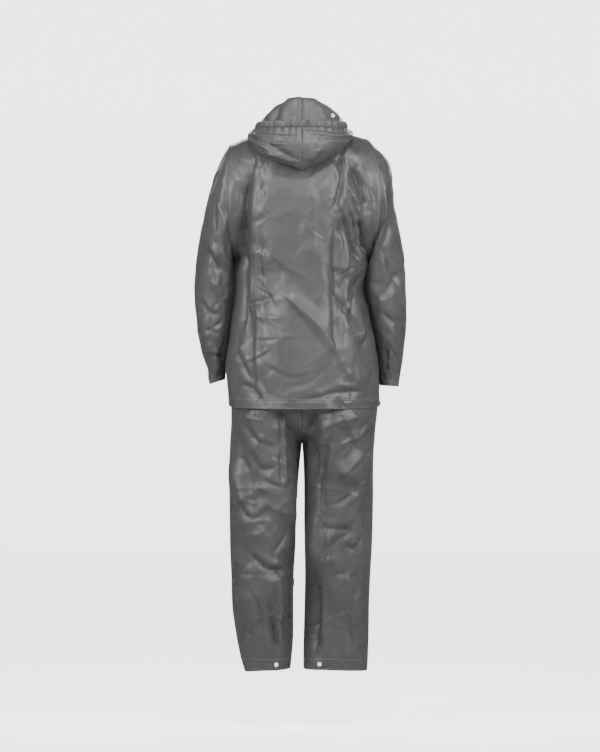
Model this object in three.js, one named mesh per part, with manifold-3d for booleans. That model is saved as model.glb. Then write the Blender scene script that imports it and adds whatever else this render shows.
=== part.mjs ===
// A rain suit as it hangs on a standing wearer: a hooded zip jacket over loose trousers, in coated cloth.
// Millimetres, +Z up. The wearer faces +Y, so the back of the suit faces -Y, and the wearer's left is -X.
// The origin is the middle of the neck at shoulder height, where the jacket hangs on the wearer.
import * as THREE from 'three';
import Module from 'manifold-3d';

const wasm = await Module();
wasm.setup();

// Driving sizes
const CLOTH = 1.4;
const SEAM = 0.3;
const BACK = -1;
const FRONT = 1;
const LEFT = -1;
const RIGHT = 1;
const ROUNDNESS = 0.83;
const ZIP_GAP = 4.5;
const NECK = { half_width: 88, back: 78, front: 80, side_z: 8, back_z: 12, front_z: -58 };
const ARC = { back: 132, front: 114, flatness: 2.4 };
const NECK_SHARE = 0.55;
const NECK_CURVE = 1.4;
const SHOULDER_CURVE = 1.3;
const SIDE_LIFT = { height: 9, power: 2.5, fade: 4 };
const PANEL_FADE = { side: 0.16, top: 0.5 };
const SLEEVE_FADE = { depth: 30, top: 3, end: 1.5 };
const LEG_FADE = { side: 2, end: 2, covered: 24 };
const EDGE_GAP = 0.1;
const POINTS_PER_MM = 1e4;

const CLOTH_COLOUR = 0x72757a;
const HOOD_COLOUR = 0x777a7f;
const METAL_COLOUR = 0xc9ccd0;
const TAPE_COLOUR = 0x4c4f54;

// Jacket body from the hem up to the underarm: half widths to the left and right, then the depths behind
// and in front of the middle.
const BODY_COLUMNS = ['z', 'left', 'right', 'back', 'front'];
const BODY_ROWS = [
  [-666, 178, 187, 149, 142],
  [-632, 180, 187, 148, 141],
  [-571, 184, 187, 146, 139],
  [-522, 180, 181, 142, 136],
  [-473, 175, 172, 137, 131],
  [-412, 170.6, 162, 131, 126],
  [-376, 169, 154, 129, 122],
  [-327, 169, 157, 130, 119],
  [-300, 166, 164, 131, 118],
];

// Sleeve rings from the armhole down to the cuff: the outer and inner point of each ring in the X-Z plane,
// its half depth along Y, the Y of its middle, and how far its back and front bow along X.
const SLEEVE_COLUMNS = ['outer_x', 'outer_z', 'inner_x', 'inner_z', 'depth', 'middle_y', 'bow'];
const LEFT_SLEEVE = [
  [-175, -22, -166, -300, 98, 0, -8],
  [-187, -33, -168, -301.5, 100, 0, -8],
  [-208, -80, -171, -304, 100, 0, -6],
  [-234, -160, -172, -314, 95, 0, -4],
  [-249, -235, -171, -332, 88, 2, -2],
  [-258, -310, -170, -365, 82, 5, 0],
  [-262, -395, -172, -412, 78, 10, 0],
  [-257, -465, -176, -468, 72, 16, 0],
  [-243, -530, -182, -528, 62, 24, 0],
  [-232, -574, -186, -566, 50, 30, 0],
  [-227, -606, -188, -594, 43, 34, 0],
];
const RIGHT_SLEEVE = [
  [150, -8, 164, -297, 98, 0, 34],
  [171, -20, 167, -299, 101, 0, 32],
  [200, -50, 168, -303, 102, 0, 22],
  [217, -95, 166.5, -309, 101, 0, 12],
  [223, -165, 161.5, -322, 97, 0, 6],
  [238, -240, 158, -342, 90, 2, 3],
  [250, -330, 155.6, -376, 83, 6, 0],
  [256, -425, 166.8, -430, 77, 12, 0],
  [253, -500, 179.2, -502, 68, 20, 0],
  [247, -550, 187, -550, 57, 28, 0],
  [241, -585, 190, -583, 48, 32, 0],
  [237, -612, 194, -609, 43, 34, 0],
];

// Folded hood by angle from the middle of the back: heights of its seam on the collar, of the roll over the
// top, of the bag's lowest and widest lines and of its edge, each with its distance out from the neck.
const HOOD_COLUMNS = [
  'angle', 'seam_z', 'roll_z', 'tip_out', 'tip_z', 'belly_out', 'belly_z', 'edge_out', 'edge_z',
];
const HOOD_ROWS = [
  [0, 50, 88, 61, -91, 88, -28, 70, 11],
  [18, 49, 86, 61, -79, 86, -24, 70, 11],
  [35, 45, 73, 59, -58, 79, -16, 66, 11],
  [52, 40, 58, 52, -34, 66, -9, 55, 11],
  [70, 34, 47, 40, 1, 50, 8, 43, 13],
  [90, 28, 42, 28, 10, 36, 14, 32, 17],
  [110, 18, 34, 22, 4, 29, 8, 27, 11],
  [130, 3, 18, 17, -15, 23, -9, 21, -5],
  [150, -10, -1, 13, -31, 20, -25, 19, -21],
  [168, -17, -10, 10, -43, 17, -37, 16, -33],
];
const ROLL_OUT = 6;
const RIGHT_RISE = { tip: 20, belly: 8, middle_angle: 52, half_angle: 40 };
const CHANNEL = {
  height: 17, wall: 2.6, gathers: 30, depth: 1.7, bulge: 2.5, lean: 24,
  gathered_angle: 62, fade_angle: 8, plain_steps: 10,
};
const COLLAR_LEAN = 0.05;

// Trouser sections from the waist to the hem: outer edge, inner edge (past the middle where the two halves
// are one round hip) and depths to the back and front.
const LEG_COLUMNS = ['z', 'outer', 'inner', 'back', 'front'];
const LEFT_LEG = [
  [-467, -139, 138, 113, 108],
  [-500, -150, 150, 124, 117],
  [-560, -167, 168, 134, 125],
  [-610, -171, 170, 134, 125],
  [-650, -172, 120, 130, 121],
  [-690, -172, 60, 124, 116],
  [-718, -173, 24, 118, 112],
  [-734, -174, 6, 114, 109],
  [-745, -175, -0.2, 112, 108],
  [-775, -176, -4, 109, 106],
  [-815, -178, -8, 105, 103],
  [-865, -177, -12, 100, 98],
  [-930, -176, -15, 96, 94],
  [-1000, -175, -17, 93, 91],
  [-1070, -172, -21, 90, 87],
  [-1140, -170, -22, 86, 82],
  [-1210, -161, -22, 80, 76],
  [-1270, -149, -26, 74, 71],
  [-1297, -139, -29, 72, 69],
];
const RIGHT_LEG = [
  [-467, 139, -138, 113, 108],
  [-500, 152, -150, 124, 117],
  [-560, 170, -168, 134, 125],
  [-610, 182, -170, 134, 125],
  [-650, 184.6, -120, 130, 121],
  [-690, 181, -60, 124, 116],
  [-718, 178, -24, 118, 112],
  [-734, 177, -6, 114, 109],
  [-745, 176, 0.2, 112, 108],
  [-775, 174, 3, 109, 106],
  [-815, 173, 5, 105, 103],
  [-865, 173, 6, 100, 98],
  [-930, 172, 6, 96, 94],
  [-1000, 170, 7, 92, 90],
  [-1070, 166, 8, 88, 85],
  [-1140, 163, 7, 82, 78],
  [-1210, 162, 5, 76, 70],
  [-1270, 160, 4, 68, 62],
  [-1297, 158, 4, 64, 58],
];
const HEM_DROP = 6;
const COVERED_Z = -658;
const WAISTBAND = { top: -430, bottom: -466.6, half_width: 139, back: 113, front: 108, wall: 2.5 };

// The largest folds, each a line of [x, z] places with its depth (below zero is a trough) and half width.
const BACK_FOLDS = [
  { name: 'left deep fold', depth: -19, width: 13,
    line: [[-117, -68], [-136, -127], [-143, -200], [-144, -303], [-146, -380], [-148, -445]] },
  { name: 'left soft ridge', depth: 7, width: 24, line: [[-104, -215], [-101, -330], [-104, -437]] },
  { name: 'left lower crease', depth: -6, width: 9, line: [[-120, -412], [-119, -620]] },
  { name: 'left hip fold', depth: -7, width: 12, line: [[-151, -603], [-122, -620], [-98, -644]] },
  { name: 'left hip ridge', depth: 7, width: 14, line: [[-165, -559], [-139, -510]] },
  { name: 'right shoulder fold', depth: -8, width: 11, line: [[93, -46], [95, -112], [76, -193]] },
  { name: 'right long crease', depth: -11, width: 10, line: [[77, -225], [76, -380], [78, -534]] },
  { name: 'right arm fold', depth: -13, width: 13, line: [[93, -193], [117, -254], [140, -317]] },
  { name: 'upper armhole wedge', depth: -13, width: 14, line: [[129, -60], [152, -110], [165, -156]] },
  { name: 'lower armhole wedge', depth: -16, width: 14, line: [[122, -170], [148, -240], [147, -318]] },
  { name: 'right side fold', depth: -9, width: 11, line: [[80, -393], [120, -437], [132, -378]] },
  { name: 'right hip fold', depth: -8, width: 12, line: [[129, -486], [146, -510], [163, -473]] },
  { name: 'slanting ridge', depth: 9, width: 22, line: [[-54, -376], [-5, -425], [49, -478], [93, -551]] },
  { name: 'right hip ridge', depth: 7, width: 13, line: [[105, -571], [158, -615]] },
  { name: 'fold above the hem', depth: -5, width: 10,
    line: [[-5, -644], [44, -637], [80, -627], [150, -622]] },
];
const FRONT_FOLDS = [
  { name: 'left chest fold', depth: -11, width: 14, line: [[-128, -120], [-118, -210], [-126, -330]] },
  { name: 'right chest fold', depth: -13, width: 13, line: [[122, -110], [112, -230], [124, -340]] },
  { name: 'left waist fold', depth: -8, width: 13, line: [[-68, -360], [-104, -420], [-140, -440]] },
  { name: 'right waist fold', depth: -9, width: 12, line: [[72, -350], [96, -410], [134, -430]] },
  { name: 'left skirt ridge', depth: 8, width: 18, line: [[-80, -460], [-70, -600]] },
  { name: 'right skirt ridge', depth: 7, width: 20, line: [[60, -450], [86, -610]] },
];
const SLEEVE_FOLDS = [
  { name: 'left elbow fold', depth: -9, width: 12, line: [[-237, -278], [-214, -306], [-194, -332]] },
  { name: 'left elbow ridge', depth: 6, width: 13, line: [[-224, -352], [-170, -408]] },
  { name: 'left forearm fold', depth: -6, width: 10, line: [[-240, -534], [-186, -538]] },
  { name: 'right elbow fold', depth: -8, width: 12, line: [[240, -330], [214, -372], [186, -392]] },
  { name: 'right forearm crease', depth: -6, width: 10, line: [[202, -495], [247, -488]] },
  { name: 'right forearm hollow', depth: -9, width: 12, line: [[198, -515], [208, -580]] },
];
const TROUSER_BACK_FOLDS = [
  { name: 'seat fold left', depth: -10, width: 15, line: [[-63, -650], [-34, -700], [-8, -738]] },
  { name: 'seat fold right', depth: -9, width: 13, line: [[30, -655], [12, -715]] },
  { name: 'left thigh hook', depth: -7, width: 12, line: [[-122, -778], [-98, -810], [-59, -805]] },
  { name: 'left thigh zigzag', depth: -6, width: 10, line: [[-98, -834], [-49, -856], [-26, -839]] },
  { name: 'left knee ridge', depth: 7, width: 15, line: [[-107, -881], [-66, -908], [-30, -925]] },
  { name: 'left calf hook', depth: -8, width: 13, line: [[-127, -1015], [-83, -1052], [-32, -1059]] },
  { name: 'left side fold', depth: -6, width: 13, line: [[-168, -1040], [-158, -1090]] },
  { name: 'right hip ridge', depth: 8, width: 15, line: [[20, -724], [81, -696], [165, -680]] },
  { name: 'right thigh fold', depth: -8, width: 11, line: [[63, -742], [49, -827]] },
  { name: 'right inner fold', depth: -6, width: 9, line: [[34, -754], [24, -839]] },
  { name: 'right thigh ridge', depth: 9, width: 17, line: [[81, -839], [130, -790], [164, -742]] },
  { name: 'right knee hook', depth: -7, width: 12, line: [[44, -954], [117, -961], [81, -986]] },
  { name: 'right knee fold', depth: -7, width: 12, line: [[105, -986], [129, -1005], [160, -965]] },
  { name: 'right calf fold', depth: -8, width: 16, line: [[39, -1059], [38, -1262]] },
];
const TROUSER_FRONT_FOLDS = [
  { name: 'left knee fold', depth: -8, width: 13, line: [[-130, -930], [-90, -960], [-40, -940]] },
  { name: 'right knee fold', depth: -7, width: 13, line: [[40, -950], [84, -980], [134, -950]] },
  { name: 'left shin fold', depth: -7, width: 16, line: [[-90, -1050], [-94, -1240]] },
  { name: 'right shin fold', depth: -8, width: 15, line: [[100, -1060], [96, -1250]] },
  { name: 'left groin fold', depth: -8, width: 13, line: [[-24, -740], [-80, -690], [-140, -668]] },
  { name: 'right groin fold', depth: -8, width: 13, line: [[24, -742], [84, -695], [142, -672]] },
];

const mix = (a, b, t) => a + (b - a) * t;
const clamp = (value, low, high) => Math.min(Math.max(value, low), high);

function smoothStep(t) {
  const c = clamp(t, 0, 1);
  return c * c * (3 - 2 * c);
}

// A row of named values at a place between the rows of a table, on a curve that never overshoots them.
function rowAt(columns, rows, place) {
  const last = rows.length - 1;
  const i = clamp(Math.floor(place), 0, last - 1);
  const t = clamp(place - i, 0, 1);
  const row = {};
  columns.forEach((name, column) => {
    const secant = (j) => rows[j + 1][column] - rows[j][column];
    const slope = (j) => {
      if (j === 0) return secant(0);
      if (j === last) return secant(last - 1);
      const before = secant(j - 1);
      const after = secant(j);
      return before * after <= 0 ? 0 : (2 * before * after) / (before + after);
    };
    const start = rows[i][column];
    const end = rows[i + 1][column];
    row[name] = (2 * t ** 3 - 3 * t ** 2 + 1) * start + (t ** 3 - 2 * t ** 2 + t) * slope(i)
      + (3 * t ** 2 - 2 * t ** 3) * end + (t ** 3 - t ** 2) * slope(i + 1);
  });
  return row;
}

// The place in a table at which its first, rising column reaches a value.
function placeOf(rows, value) {
  const next = rows.findIndex((row) => row[0] >= value);
  if (next === -1) return rows.length - 1;
  if (next === 0) return 0;
  return next - 1 + (value - rows[next - 1][0]) / (rows[next][0] - rows[next - 1][0]);
}

function distanceToLine(line, x, z) {
  let nearest = Infinity;
  for (let i = 0; i + 1 < line.length; i += 1) {
    const [ax, az] = line[i];
    const dx = line[i + 1][0] - ax;
    const dz = line[i + 1][1] - az;
    const t = clamp(((x - ax) * dx + (z - az) * dz) / (dx * dx + dz * dz), 0, 1);
    nearest = Math.min(nearest, Math.hypot(x - ax - t * dx, z - az - t * dz));
  }
  return nearest;
}

function foldHeight(folds, x, z) {
  let height = 0;
  for (const fold of folds) {
    height += fold.depth * Math.exp(-((distanceToLine(fold.line, x, z) / fold.width) ** 2));
  }
  return height;
}

function gridOf(rows, columns, pointAt) {
  const row = (r) => Array.from({ length: columns }, (_, c) => pointAt(r, c));
  return Array.from({ length: rows }, (_, r) => row(r));
}

// Outward normals of a grid of points, by the differences along its rows and columns.
function gridNormals(grid, closed, flip) {
  const rows = grid.length;
  const columns = grid[0].length;
  return grid.map((row, r) => row.map((point, c) => {
    const before = closed ? row[(c + columns - 1) % columns] : row[Math.max(c - 1, 0)];
    const after = closed ? row[(c + 1) % columns] : row[Math.min(c + 1, columns - 1)];
    const across = after.clone().sub(before);
    const along = grid[Math.min(r + 1, rows - 1)][c].clone().sub(grid[Math.max(r - 1, 0)][c]);
    return across.cross(along).normalize().multiplyScalar(flip ? -1 : 1);
  }));
}

function geometryOf(points, triangles) {
  const geometry = new THREE.BufferGeometry();
  const positions = new Float32Array(points.flatMap((p) => [p.x, p.y, p.z]));
  geometry.setAttribute('position', new THREE.BufferAttribute(positions, 3));
  geometry.setIndex(triangles);
  geometry.computeVertexNormals();
  return geometry;
}

// Cloth between an outer and an inner grid of points, closed along all its edges.
function wallBetween(outer, inner, closed, flip) {
  const rows = outer.length;
  const columns = outer[0].length;
  const points = [...outer.flat(), ...inner.flat()];
  const triangles = [];
  const outerAt = (r, c) => r * columns + (c % columns);
  const innerAt = (r, c) => rows * columns + outerAt(r, c);
  const quad = (a, b, c, d) => {
    if (flip) triangles.push(a, c, b, a, d, c);
    else triangles.push(a, b, c, a, c, d);
  };
  const spans = closed ? columns : columns - 1;
  const right = columns - 1;
  const low = rows - 1;
  for (let r = 0; r < low; r += 1) {
    for (let c = 0; c < spans; c += 1) {
      quad(outerAt(r, c), outerAt(r, c + 1), outerAt(r + 1, c + 1), outerAt(r + 1, c));
      quad(innerAt(r, c), innerAt(r + 1, c), innerAt(r + 1, c + 1), innerAt(r, c + 1));
    }
    if (!closed) {
      quad(innerAt(r, 0), outerAt(r, 0), outerAt(r + 1, 0), innerAt(r + 1, 0));
      quad(outerAt(r, right), innerAt(r, right), innerAt(r + 1, right), outerAt(r + 1, right));
    }
  }
  for (let c = 0; c < spans; c += 1) {
    quad(innerAt(0, c), innerAt(0, c + 1), outerAt(0, c + 1), outerAt(0, c));
    quad(outerAt(low, c), outerAt(low, c + 1), innerAt(low, c + 1), innerAt(low, c));
  }
  return geometryOf(points, triangles);
}

const nothing = () => {};

// A cloth panel: the base grid pushed in and out by its folds, then given its thickness inwards.
function clothPanel({
  grid, closed = false, flip = false, wall = CLOTH, height = () => 0, tidy = nothing, edge = nothing,
}) {
  const baseNormals = gridNormals(grid, closed, flip);
  const outer = grid.map((row, r) => row.map((point, c) => {
    const moved = point.clone().addScaledVector(baseNormals[r][c], height(point, r, c));
    tidy(moved);
    return moved;
  }));
  const normals = gridNormals(outer, closed, flip);
  const inner = outer.map((row, r) => row.map((point, c) => {
    const normal = normals[r][c];
    edge(normal, r, c);
    const moved = point.clone().addScaledVector(normal.normalize(), -wall);
    tidy(moved);
    return moved;
  }));
  return { outer, flip, geometry: wallBetween(outer, inner, closed, flip) };
}

// The armhole, which the body panels and the sleeve share: under the arm at -90 degrees, shoulder at 90.
function armhole(side, face, degrees) {
  const ring = rowAt(SLEEVE_COLUMNS, side === LEFT ? LEFT_SLEEVE : RIGHT_SLEEVE, 0);
  const angle = THREE.MathUtils.degToRad(degrees);
  const end_x = degrees > 0 ? ring.outer_x : ring.inner_x;
  const end_z = degrees > 0 ? ring.outer_z : ring.inner_z;
  const middle_x = (ring.outer_x + ring.inner_x) / 2 + ring.bow;
  const middle_z = (ring.outer_z + ring.inner_z) / 2;
  return new THREE.Vector3(
    mix(end_x, middle_x, Math.cos(angle)),
    face * ring.depth * Math.cos(angle),
    mix(middle_z, end_z, Math.abs(Math.sin(angle))),
  );
}

// The jacket's upper edge: the shoulder seam from the sleeve to the neck, then the neckline to the middle.
function topEdge(u, face) {
  const side = u < 0 ? LEFT : RIGHT;
  const share = Math.abs(u);
  if (share >= NECK_SHARE) {
    const shoulder = armhole(side, face, 90);
    const t = (share - NECK_SHARE) / (1 - NECK_SHARE);
    const z = mix(NECK.side_z, shoulder.z, t ** SHOULDER_CURVE);
    return new THREE.Vector3(mix(side * NECK.half_width, shoulder.x, t), 0, z);
  }
  return neckline(side * (share / NECK_SHARE) * 90, face);
}

// A point of the neckline by its angle from the middle of the back or of the front.
function neckline(degrees, face, scale = 1) {
  const angle = THREE.MathUtils.degToRad(degrees);
  const depth = face === BACK ? NECK.back : NECK.front;
  const middle_z = face === BACK ? NECK.back_z : NECK.front_z;
  const z = mix(NECK.side_z, middle_z, Math.cos(angle) ** NECK_CURVE);
  return new THREE.Vector3(
    NECK.half_width * Math.sin(angle) * scale,
    face * depth * Math.cos(angle) * scale,
    z,
  );
}

// A point of the jacket body. u runs from the left side to the right; v is 0 at the hem, 1 under the arms,
// 2 half way up the armholes and 3 on the shoulder seams and the neckline.
function bodyPoint(u, v, face) {
  const side = u < 0 ? LEFT : RIGHT;
  const turn = Math.abs(u) * Math.PI / 2;
  const wide = Math.sin(turn) ** ROUNDNESS;
  const deep = Math.max(Math.cos(turn), 0) ** ROUNDNESS;
  const depth_name = face === BACK ? 'back' : 'front';
  if (v <= 1) {
    const row = rowAt(BODY_COLUMNS, BODY_ROWS, v * (BODY_ROWS.length - 1));
    const lift = SIDE_LIFT.height * Math.abs(u) ** SIDE_LIFT.power * (1 - smoothStep(v * SIDE_LIFT.fade));
    return new THREE.Vector3(
      (side === LEFT ? -row.left : row.right) * wide,
      face * row[depth_name] * deep,
      row.z + lift,
    );
  }
  if (v <= 2) {
    const underarm = rowAt(BODY_COLUMNS, BODY_ROWS, BODY_ROWS.length - 1);
    const edge = armhole(side, face, (v - 2) * 90);
    const flat = Math.cos((v - 2) * Math.PI / 2);
    const depth = mix(underarm[depth_name], ARC[depth_name], v - 1);
    const across = mix(wide, Math.abs(u), flat);
    const out = mix(deep, 1 - Math.abs(u) ** ARC.flatness, flat);
    const middle_z = mix(underarm.z, armhole(RIGHT, face, 0).z, (flat ** 1.5 + v - 1) / 2);
    return new THREE.Vector3(
      edge.x * across,
      face * mix(Math.abs(edge.y), depth, out),
      mix(middle_z, edge.z, u * u),
    );
  }
  const angle = (v - 2) * Math.PI / 2;
  const arc = bodyPoint(u, 2, face);
  const top = topEdge(u, face);
  const straight = (face === BACK ? 0.5 : 1) * (1 - smoothStep(Math.abs(u) / NECK_SHARE));
  const level = mix(Math.cos(angle), 1 - (v - 2), straight);
  const raised = mix(Math.sin(angle), v - 2, straight);
  return new THREE.Vector3(mix(top.x, arc.x, level), mix(top.y, arc.y, level), mix(arc.z, top.z, raised));
}

const BODY_STEPS = [
  0, 0.06, 0.125, 0.25, 0.375, 0.5, 0.62, 0.74, 0.87, 1, 1.2, 1.42, 1.7, 2, 2.25, 2.5, 2.72, 2.9, 3,
];

function edgeFade(u, v) {
  return smoothStep((1 - Math.abs(u)) / PANEL_FADE.side) * smoothStep((3 - v) / PANEL_FADE.top);
}

function bodyPanel(face, u_start, u_end, columns, folds) {
  const u_at = (c) => mix(u_start, u_end, c / columns);
  const side = u_end <= 0 ? LEFT : RIGHT;
  const grid = gridOf(BODY_STEPS.length, columns + 1, (r, c) => {
    const point = bodyPoint(u_at(c), BODY_STEPS[r], face);
    if (face === FRONT) {
      const edge = Math.abs(bodyPoint(side, BODY_STEPS[r], face).x);
      point.x = side * mix(ZIP_GAP, edge, Math.abs(point.x) / edge);
    }
    return point;
  });
  return clothPanel({
    grid,
    flip: face === FRONT,
    height: (point, r, c) => foldHeight(folds, point.x, point.z) * edgeFade(u_at(c), BODY_STEPS[r]),
    tidy: (point) => {
      point.y = face * Math.max(face * point.y, SEAM / 2);
      if (face === FRONT) point.x = side * Math.max(side * point.x, ZIP_GAP);
    },
  });
}

// A sleeve ring is an oval through its outer and inner points.
function sleevePoint(rows, place, degrees) {
  const ring = rowAt(SLEEVE_COLUMNS, rows, place);
  const angle = THREE.MathUtils.degToRad(degrees);
  const share = (1 + Math.cos(angle)) / 2;
  const round = new THREE.Vector3(
    mix(ring.inner_x, ring.outer_x, share) + ring.bow * Math.abs(Math.sin(angle)),
    ring.middle_y - ring.depth * Math.sin(angle),
    mix(ring.inner_z, ring.outer_z, share),
  );
  if (place >= 2) return round;
  const side = ring.outer_x < 0 ? LEFT : RIGHT;
  const sewn = armhole(side, Math.sin(angle) > 0 ? BACK : FRONT, 90 - Math.abs(degrees));
  sewn.x += side * (SEAM + EDGE_GAP);
  return round.lerp(sewn, 1 - place / 2);
}

function sleeve(rows, across, steps) {
  const side = rows[0][0] < 0 ? LEFT : RIGHT;
  const grid = gridOf(steps + 1, across, (r, c) => {
    return sleevePoint(rows, (r / steps) * (rows.length - 1), -180 + (c / across) * 360);
  });
  return clothPanel({
    grid,
    closed: true,
    flip: side === LEFT,
    height: (point, r) => {
      const top = smoothStep(r / SLEEVE_FADE.top);
      const end = smoothStep((steps - r) / SLEEVE_FADE.end);
      const behind = smoothStep(-point.y / SLEEVE_FADE.depth);
      return top * end * behind * foldHeight(SLEEVE_FOLDS, point.x, point.z);
    },
    edge: (normal, r) => {
      if (r === 0) normal.x = 0;
    },
  });
}

// Points of the neck oval moved straight out by a distance. The angle is 0 at the back and 180 at the front.
function neckOval(degrees, out, z) {
  const angle = THREE.MathUtils.degToRad(degrees);
  const depth = mix(NECK.back, NECK.front, (1 - Math.cos(angle)) / 2);
  return new THREE.Vector3(
    (NECK.half_width + out) * Math.sin(angle),
    -(depth + out) * Math.cos(angle),
    z,
  );
}

// The hood's sizes at an angle. Its bag hangs higher on the wearer's right.
function hoodRow(degrees) {
  const row = rowAt(HOOD_COLUMNS, HOOD_ROWS, placeOf(HOOD_ROWS, Math.abs(degrees)));
  const rise = smoothStep(1 - Math.abs(degrees - RIGHT_RISE.middle_angle) / RIGHT_RISE.half_angle);
  row.tip_z += RIGHT_RISE.tip * rise;
  row.belly_z += RIGHT_RISE.belly * rise;
  return row;
}

// The hood's cross-section at an angle: up from the collar, over the roll, down into the bag and up
// its outside.
function hoodProfile(degrees) {
  const row = hoodRow(degrees);
  const between = (out_share, z_share) => new THREE.Vector2(
    mix(ROLL_OUT, row.tip_out, out_share),
    mix(row.roll_z, row.tip_z, z_share),
  );
  return new THREE.SplineCurve([
    new THREE.Vector2(0, row.seam_z + SEAM),
    new THREE.Vector2(0.3, mix(row.seam_z, row.roll_z, 0.6)),
    new THREE.Vector2(ROLL_OUT, row.roll_z),
    between(0.26, 0.12),
    between(0.46, 0.45),
    between(0.7, 0.82),
    new THREE.Vector2(row.tip_out, row.tip_z),
    new THREE.Vector2(mix(row.tip_out, row.belly_out, 0.8), mix(row.tip_z, row.belly_z, 0.4)),
    new THREE.Vector2(row.belly_out, row.belly_z),
    new THREE.Vector2(row.edge_out, row.edge_z),
  ]);
}

const HOOD_END = 168;
const HOOD_SPLIT = 0.15;

function hoodHalf(side, around, steps) {
  const grid = gridOf(steps + 1, around + 1, (r, c) => {
    const degrees = side * mix(0.001, HOOD_END, c / around);
    const profile = hoodProfile(degrees).getPoint(r / steps);
    return neckOval(degrees, profile.x, profile.y);
  });
  return clothPanel({
    grid,
    flip: side === RIGHT,
    tidy: (point) => {
      if (point.y < 0) point.x = side * Math.max(side * point.x, HOOD_SPLIT);
    },
    edge: (normal, r) => {
      if (r === 0 || r === steps) normal.z = 0;
    },
  });
}

// The channel along the hood's face edge, with its cloth gathered on the cord across the back.
function hoodChannel() {
  const angles = [];
  const gathered_steps = CHANNEL.gathers * 4;
  for (let i = 0; i <= CHANNEL.plain_steps; i += 1) {
    angles.push(mix(-HOOD_END, -CHANNEL.gathered_angle, i / CHANNEL.plain_steps));
  }
  for (let i = 1; i < gathered_steps; i += 1) {
    angles.push(mix(-CHANNEL.gathered_angle, CHANNEL.gathered_angle, i / gathered_steps));
  }
  for (let i = 0; i <= CHANNEL.plain_steps; i += 1) {
    angles.push(mix(CHANNEL.gathered_angle, HOOD_END, i / CHANNEL.plain_steps));
  }
  const outward = (degrees, amount) => neckOval(degrees, amount, 0).sub(neckOval(degrees, 0, 0));
  const grid = [0, 0.5, 1].map((share) => angles.map((degrees) => {
    const row = hoodRow(degrees);
    const wave = Math.sin((degrees / CHANNEL.gathered_angle) * CHANNEL.gathers * Math.PI);
    const fade = smoothStep((CHANNEL.gathered_angle - Math.abs(degrees)) / CHANNEL.fade_angle);
    const bulge = CHANNEL.bulge * Math.sin(share * Math.PI) + wave * fade * CHANNEL.depth;
    const base = neckOval(degrees, row.edge_out, row.edge_z + SEAM + EDGE_GAP + share * CHANNEL.height);
    return base.add(outward(degrees, bulge - share * row.edge_out / CHANNEL.lean));
  }));
  return clothPanel({ grid, wall: CHANNEL.wall });
}

function collar(around, steps) {
  const end = THREE.MathUtils.radToDeg(Math.acos(ZIP_GAP / NECK.half_width)) + 90;
  const grid = gridOf(steps + 1, around + 1, (r, c) => {
    const degrees = mix(-end, end, c / around);
    const face = Math.abs(degrees) <= 90 ? BACK : FRONT;
    const from_middle = face === BACK ? degrees : Math.sign(degrees) * (180 - Math.abs(degrees));
    const lean = 1 - COLLAR_LEAN * (r / steps) * (1 + Math.cos(THREE.MathUtils.degToRad(degrees))) / 2;
    const low = neckline(from_middle, face, lean);
    const top = hoodRow(Math.min(Math.abs(degrees), HOOD_END)).seam_z;
    return new THREE.Vector3(low.x, low.y, mix(low.z + SEAM + 2 * EDGE_GAP, top, r / steps));
  });
  return clothPanel({
    grid,
    edge: (normal) => {
      normal.z = 0;
    },
  });
}

// A point of one trouser half. share runs from the middle seam or the inside leg seam to the side seam.
function legPoint(rows, place, share, face) {
  const row = rowAt(LEG_COLUMNS, rows, place);
  const centre = (row.outer + row.inner) / 2;
  const half = (row.outer - row.inner) / 2;
  const middle = clamp(-centre / half, -1, 1);
  const start = (2 / Math.PI) * Math.sign(middle) * Math.asin(Math.abs(middle) ** (1 / ROUNDNESS));
  const turn = mix(start, 1, share) * Math.PI / 2;
  const wide = Math.sign(turn) * Math.abs(Math.sin(turn)) ** ROUNDNESS;
  const deep = Math.max(Math.cos(turn), 0) ** ROUNDNESS;
  const hem = smoothStep((place - rows.length + 2.5) / 1.5);
  const depth = face === BACK ? row.back : row.front;
  return new THREE.Vector3(centre + half * wide, face * depth * deep, row.z - HEM_DROP * hem * share);
}

function legPanel(rows, face, across, folds) {
  const side = rows[0][1] < 0 ? LEFT : RIGHT;
  const grid = gridOf(rows.length, across + 1, (r, c) => legPoint(rows, r, c / across, face));
  return clothPanel({
    grid,
    flip: face * side < 0,
    height: (point, r, c) => {
      const sides = smoothStep(Math.min(c, across - c) / LEG_FADE.side);
      const hem = smoothStep((rows.length - 1 - r) / LEG_FADE.end);
      const top = smoothStep((COVERED_Z - point.z) / LEG_FADE.covered);
      return sides * hem * top * foldHeight(folds, point.x, point.z);
    },
    tidy: (point) => {
      point.x = side * Math.max(side * point.x, SEAM / 2);
      point.y = face * Math.max(face * point.y, SEAM / 2);
    },
  });
}

function waistband(around) {
  const grid = gridOf(2, around, (r, c) => {
    const angle = (c / around) * 2 * Math.PI;
    const deep = Math.abs(Math.cos(angle)) ** ROUNDNESS;
    const wide = Math.abs(Math.sin(angle)) ** ROUNDNESS;
    const depth = Math.cos(angle) > 0 ? WAISTBAND.back : WAISTBAND.front;
    return new THREE.Vector3(
      Math.sign(Math.sin(angle)) * wide * WAISTBAND.half_width,
      -Math.sign(Math.cos(angle)) * deep * depth,
      r === 0 ? WAISTBAND.top : WAISTBAND.bottom,
    );
  });
  return clothPanel({ grid, closed: true, flip: true, wall: WAISTBAND.wall });
}

// Zip: two tapes behind the front edges, a slider at the top of the collar and its swinging pull.
const TAPE = { width: 12, middle_gap: 0.4, wall: 1, behind: CLOTH + SEAM + 0.4, neck_drop: 2 };
const SLIDER = {
  middle_z: -31, width: 7.6, height: 11, thickness: 3.2, crown_width: 2.4, crown_leg: 1.4, axis_rise: 1,
};
const TUNNEL = { height: 2.4, length: 3.4 };
const PULL = {
  bar: 1.6, thickness: 1.2, width: 6.4, length: 26, eye_width: 3.6, eye_length: 5, corner: [2, 3],
};

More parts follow.
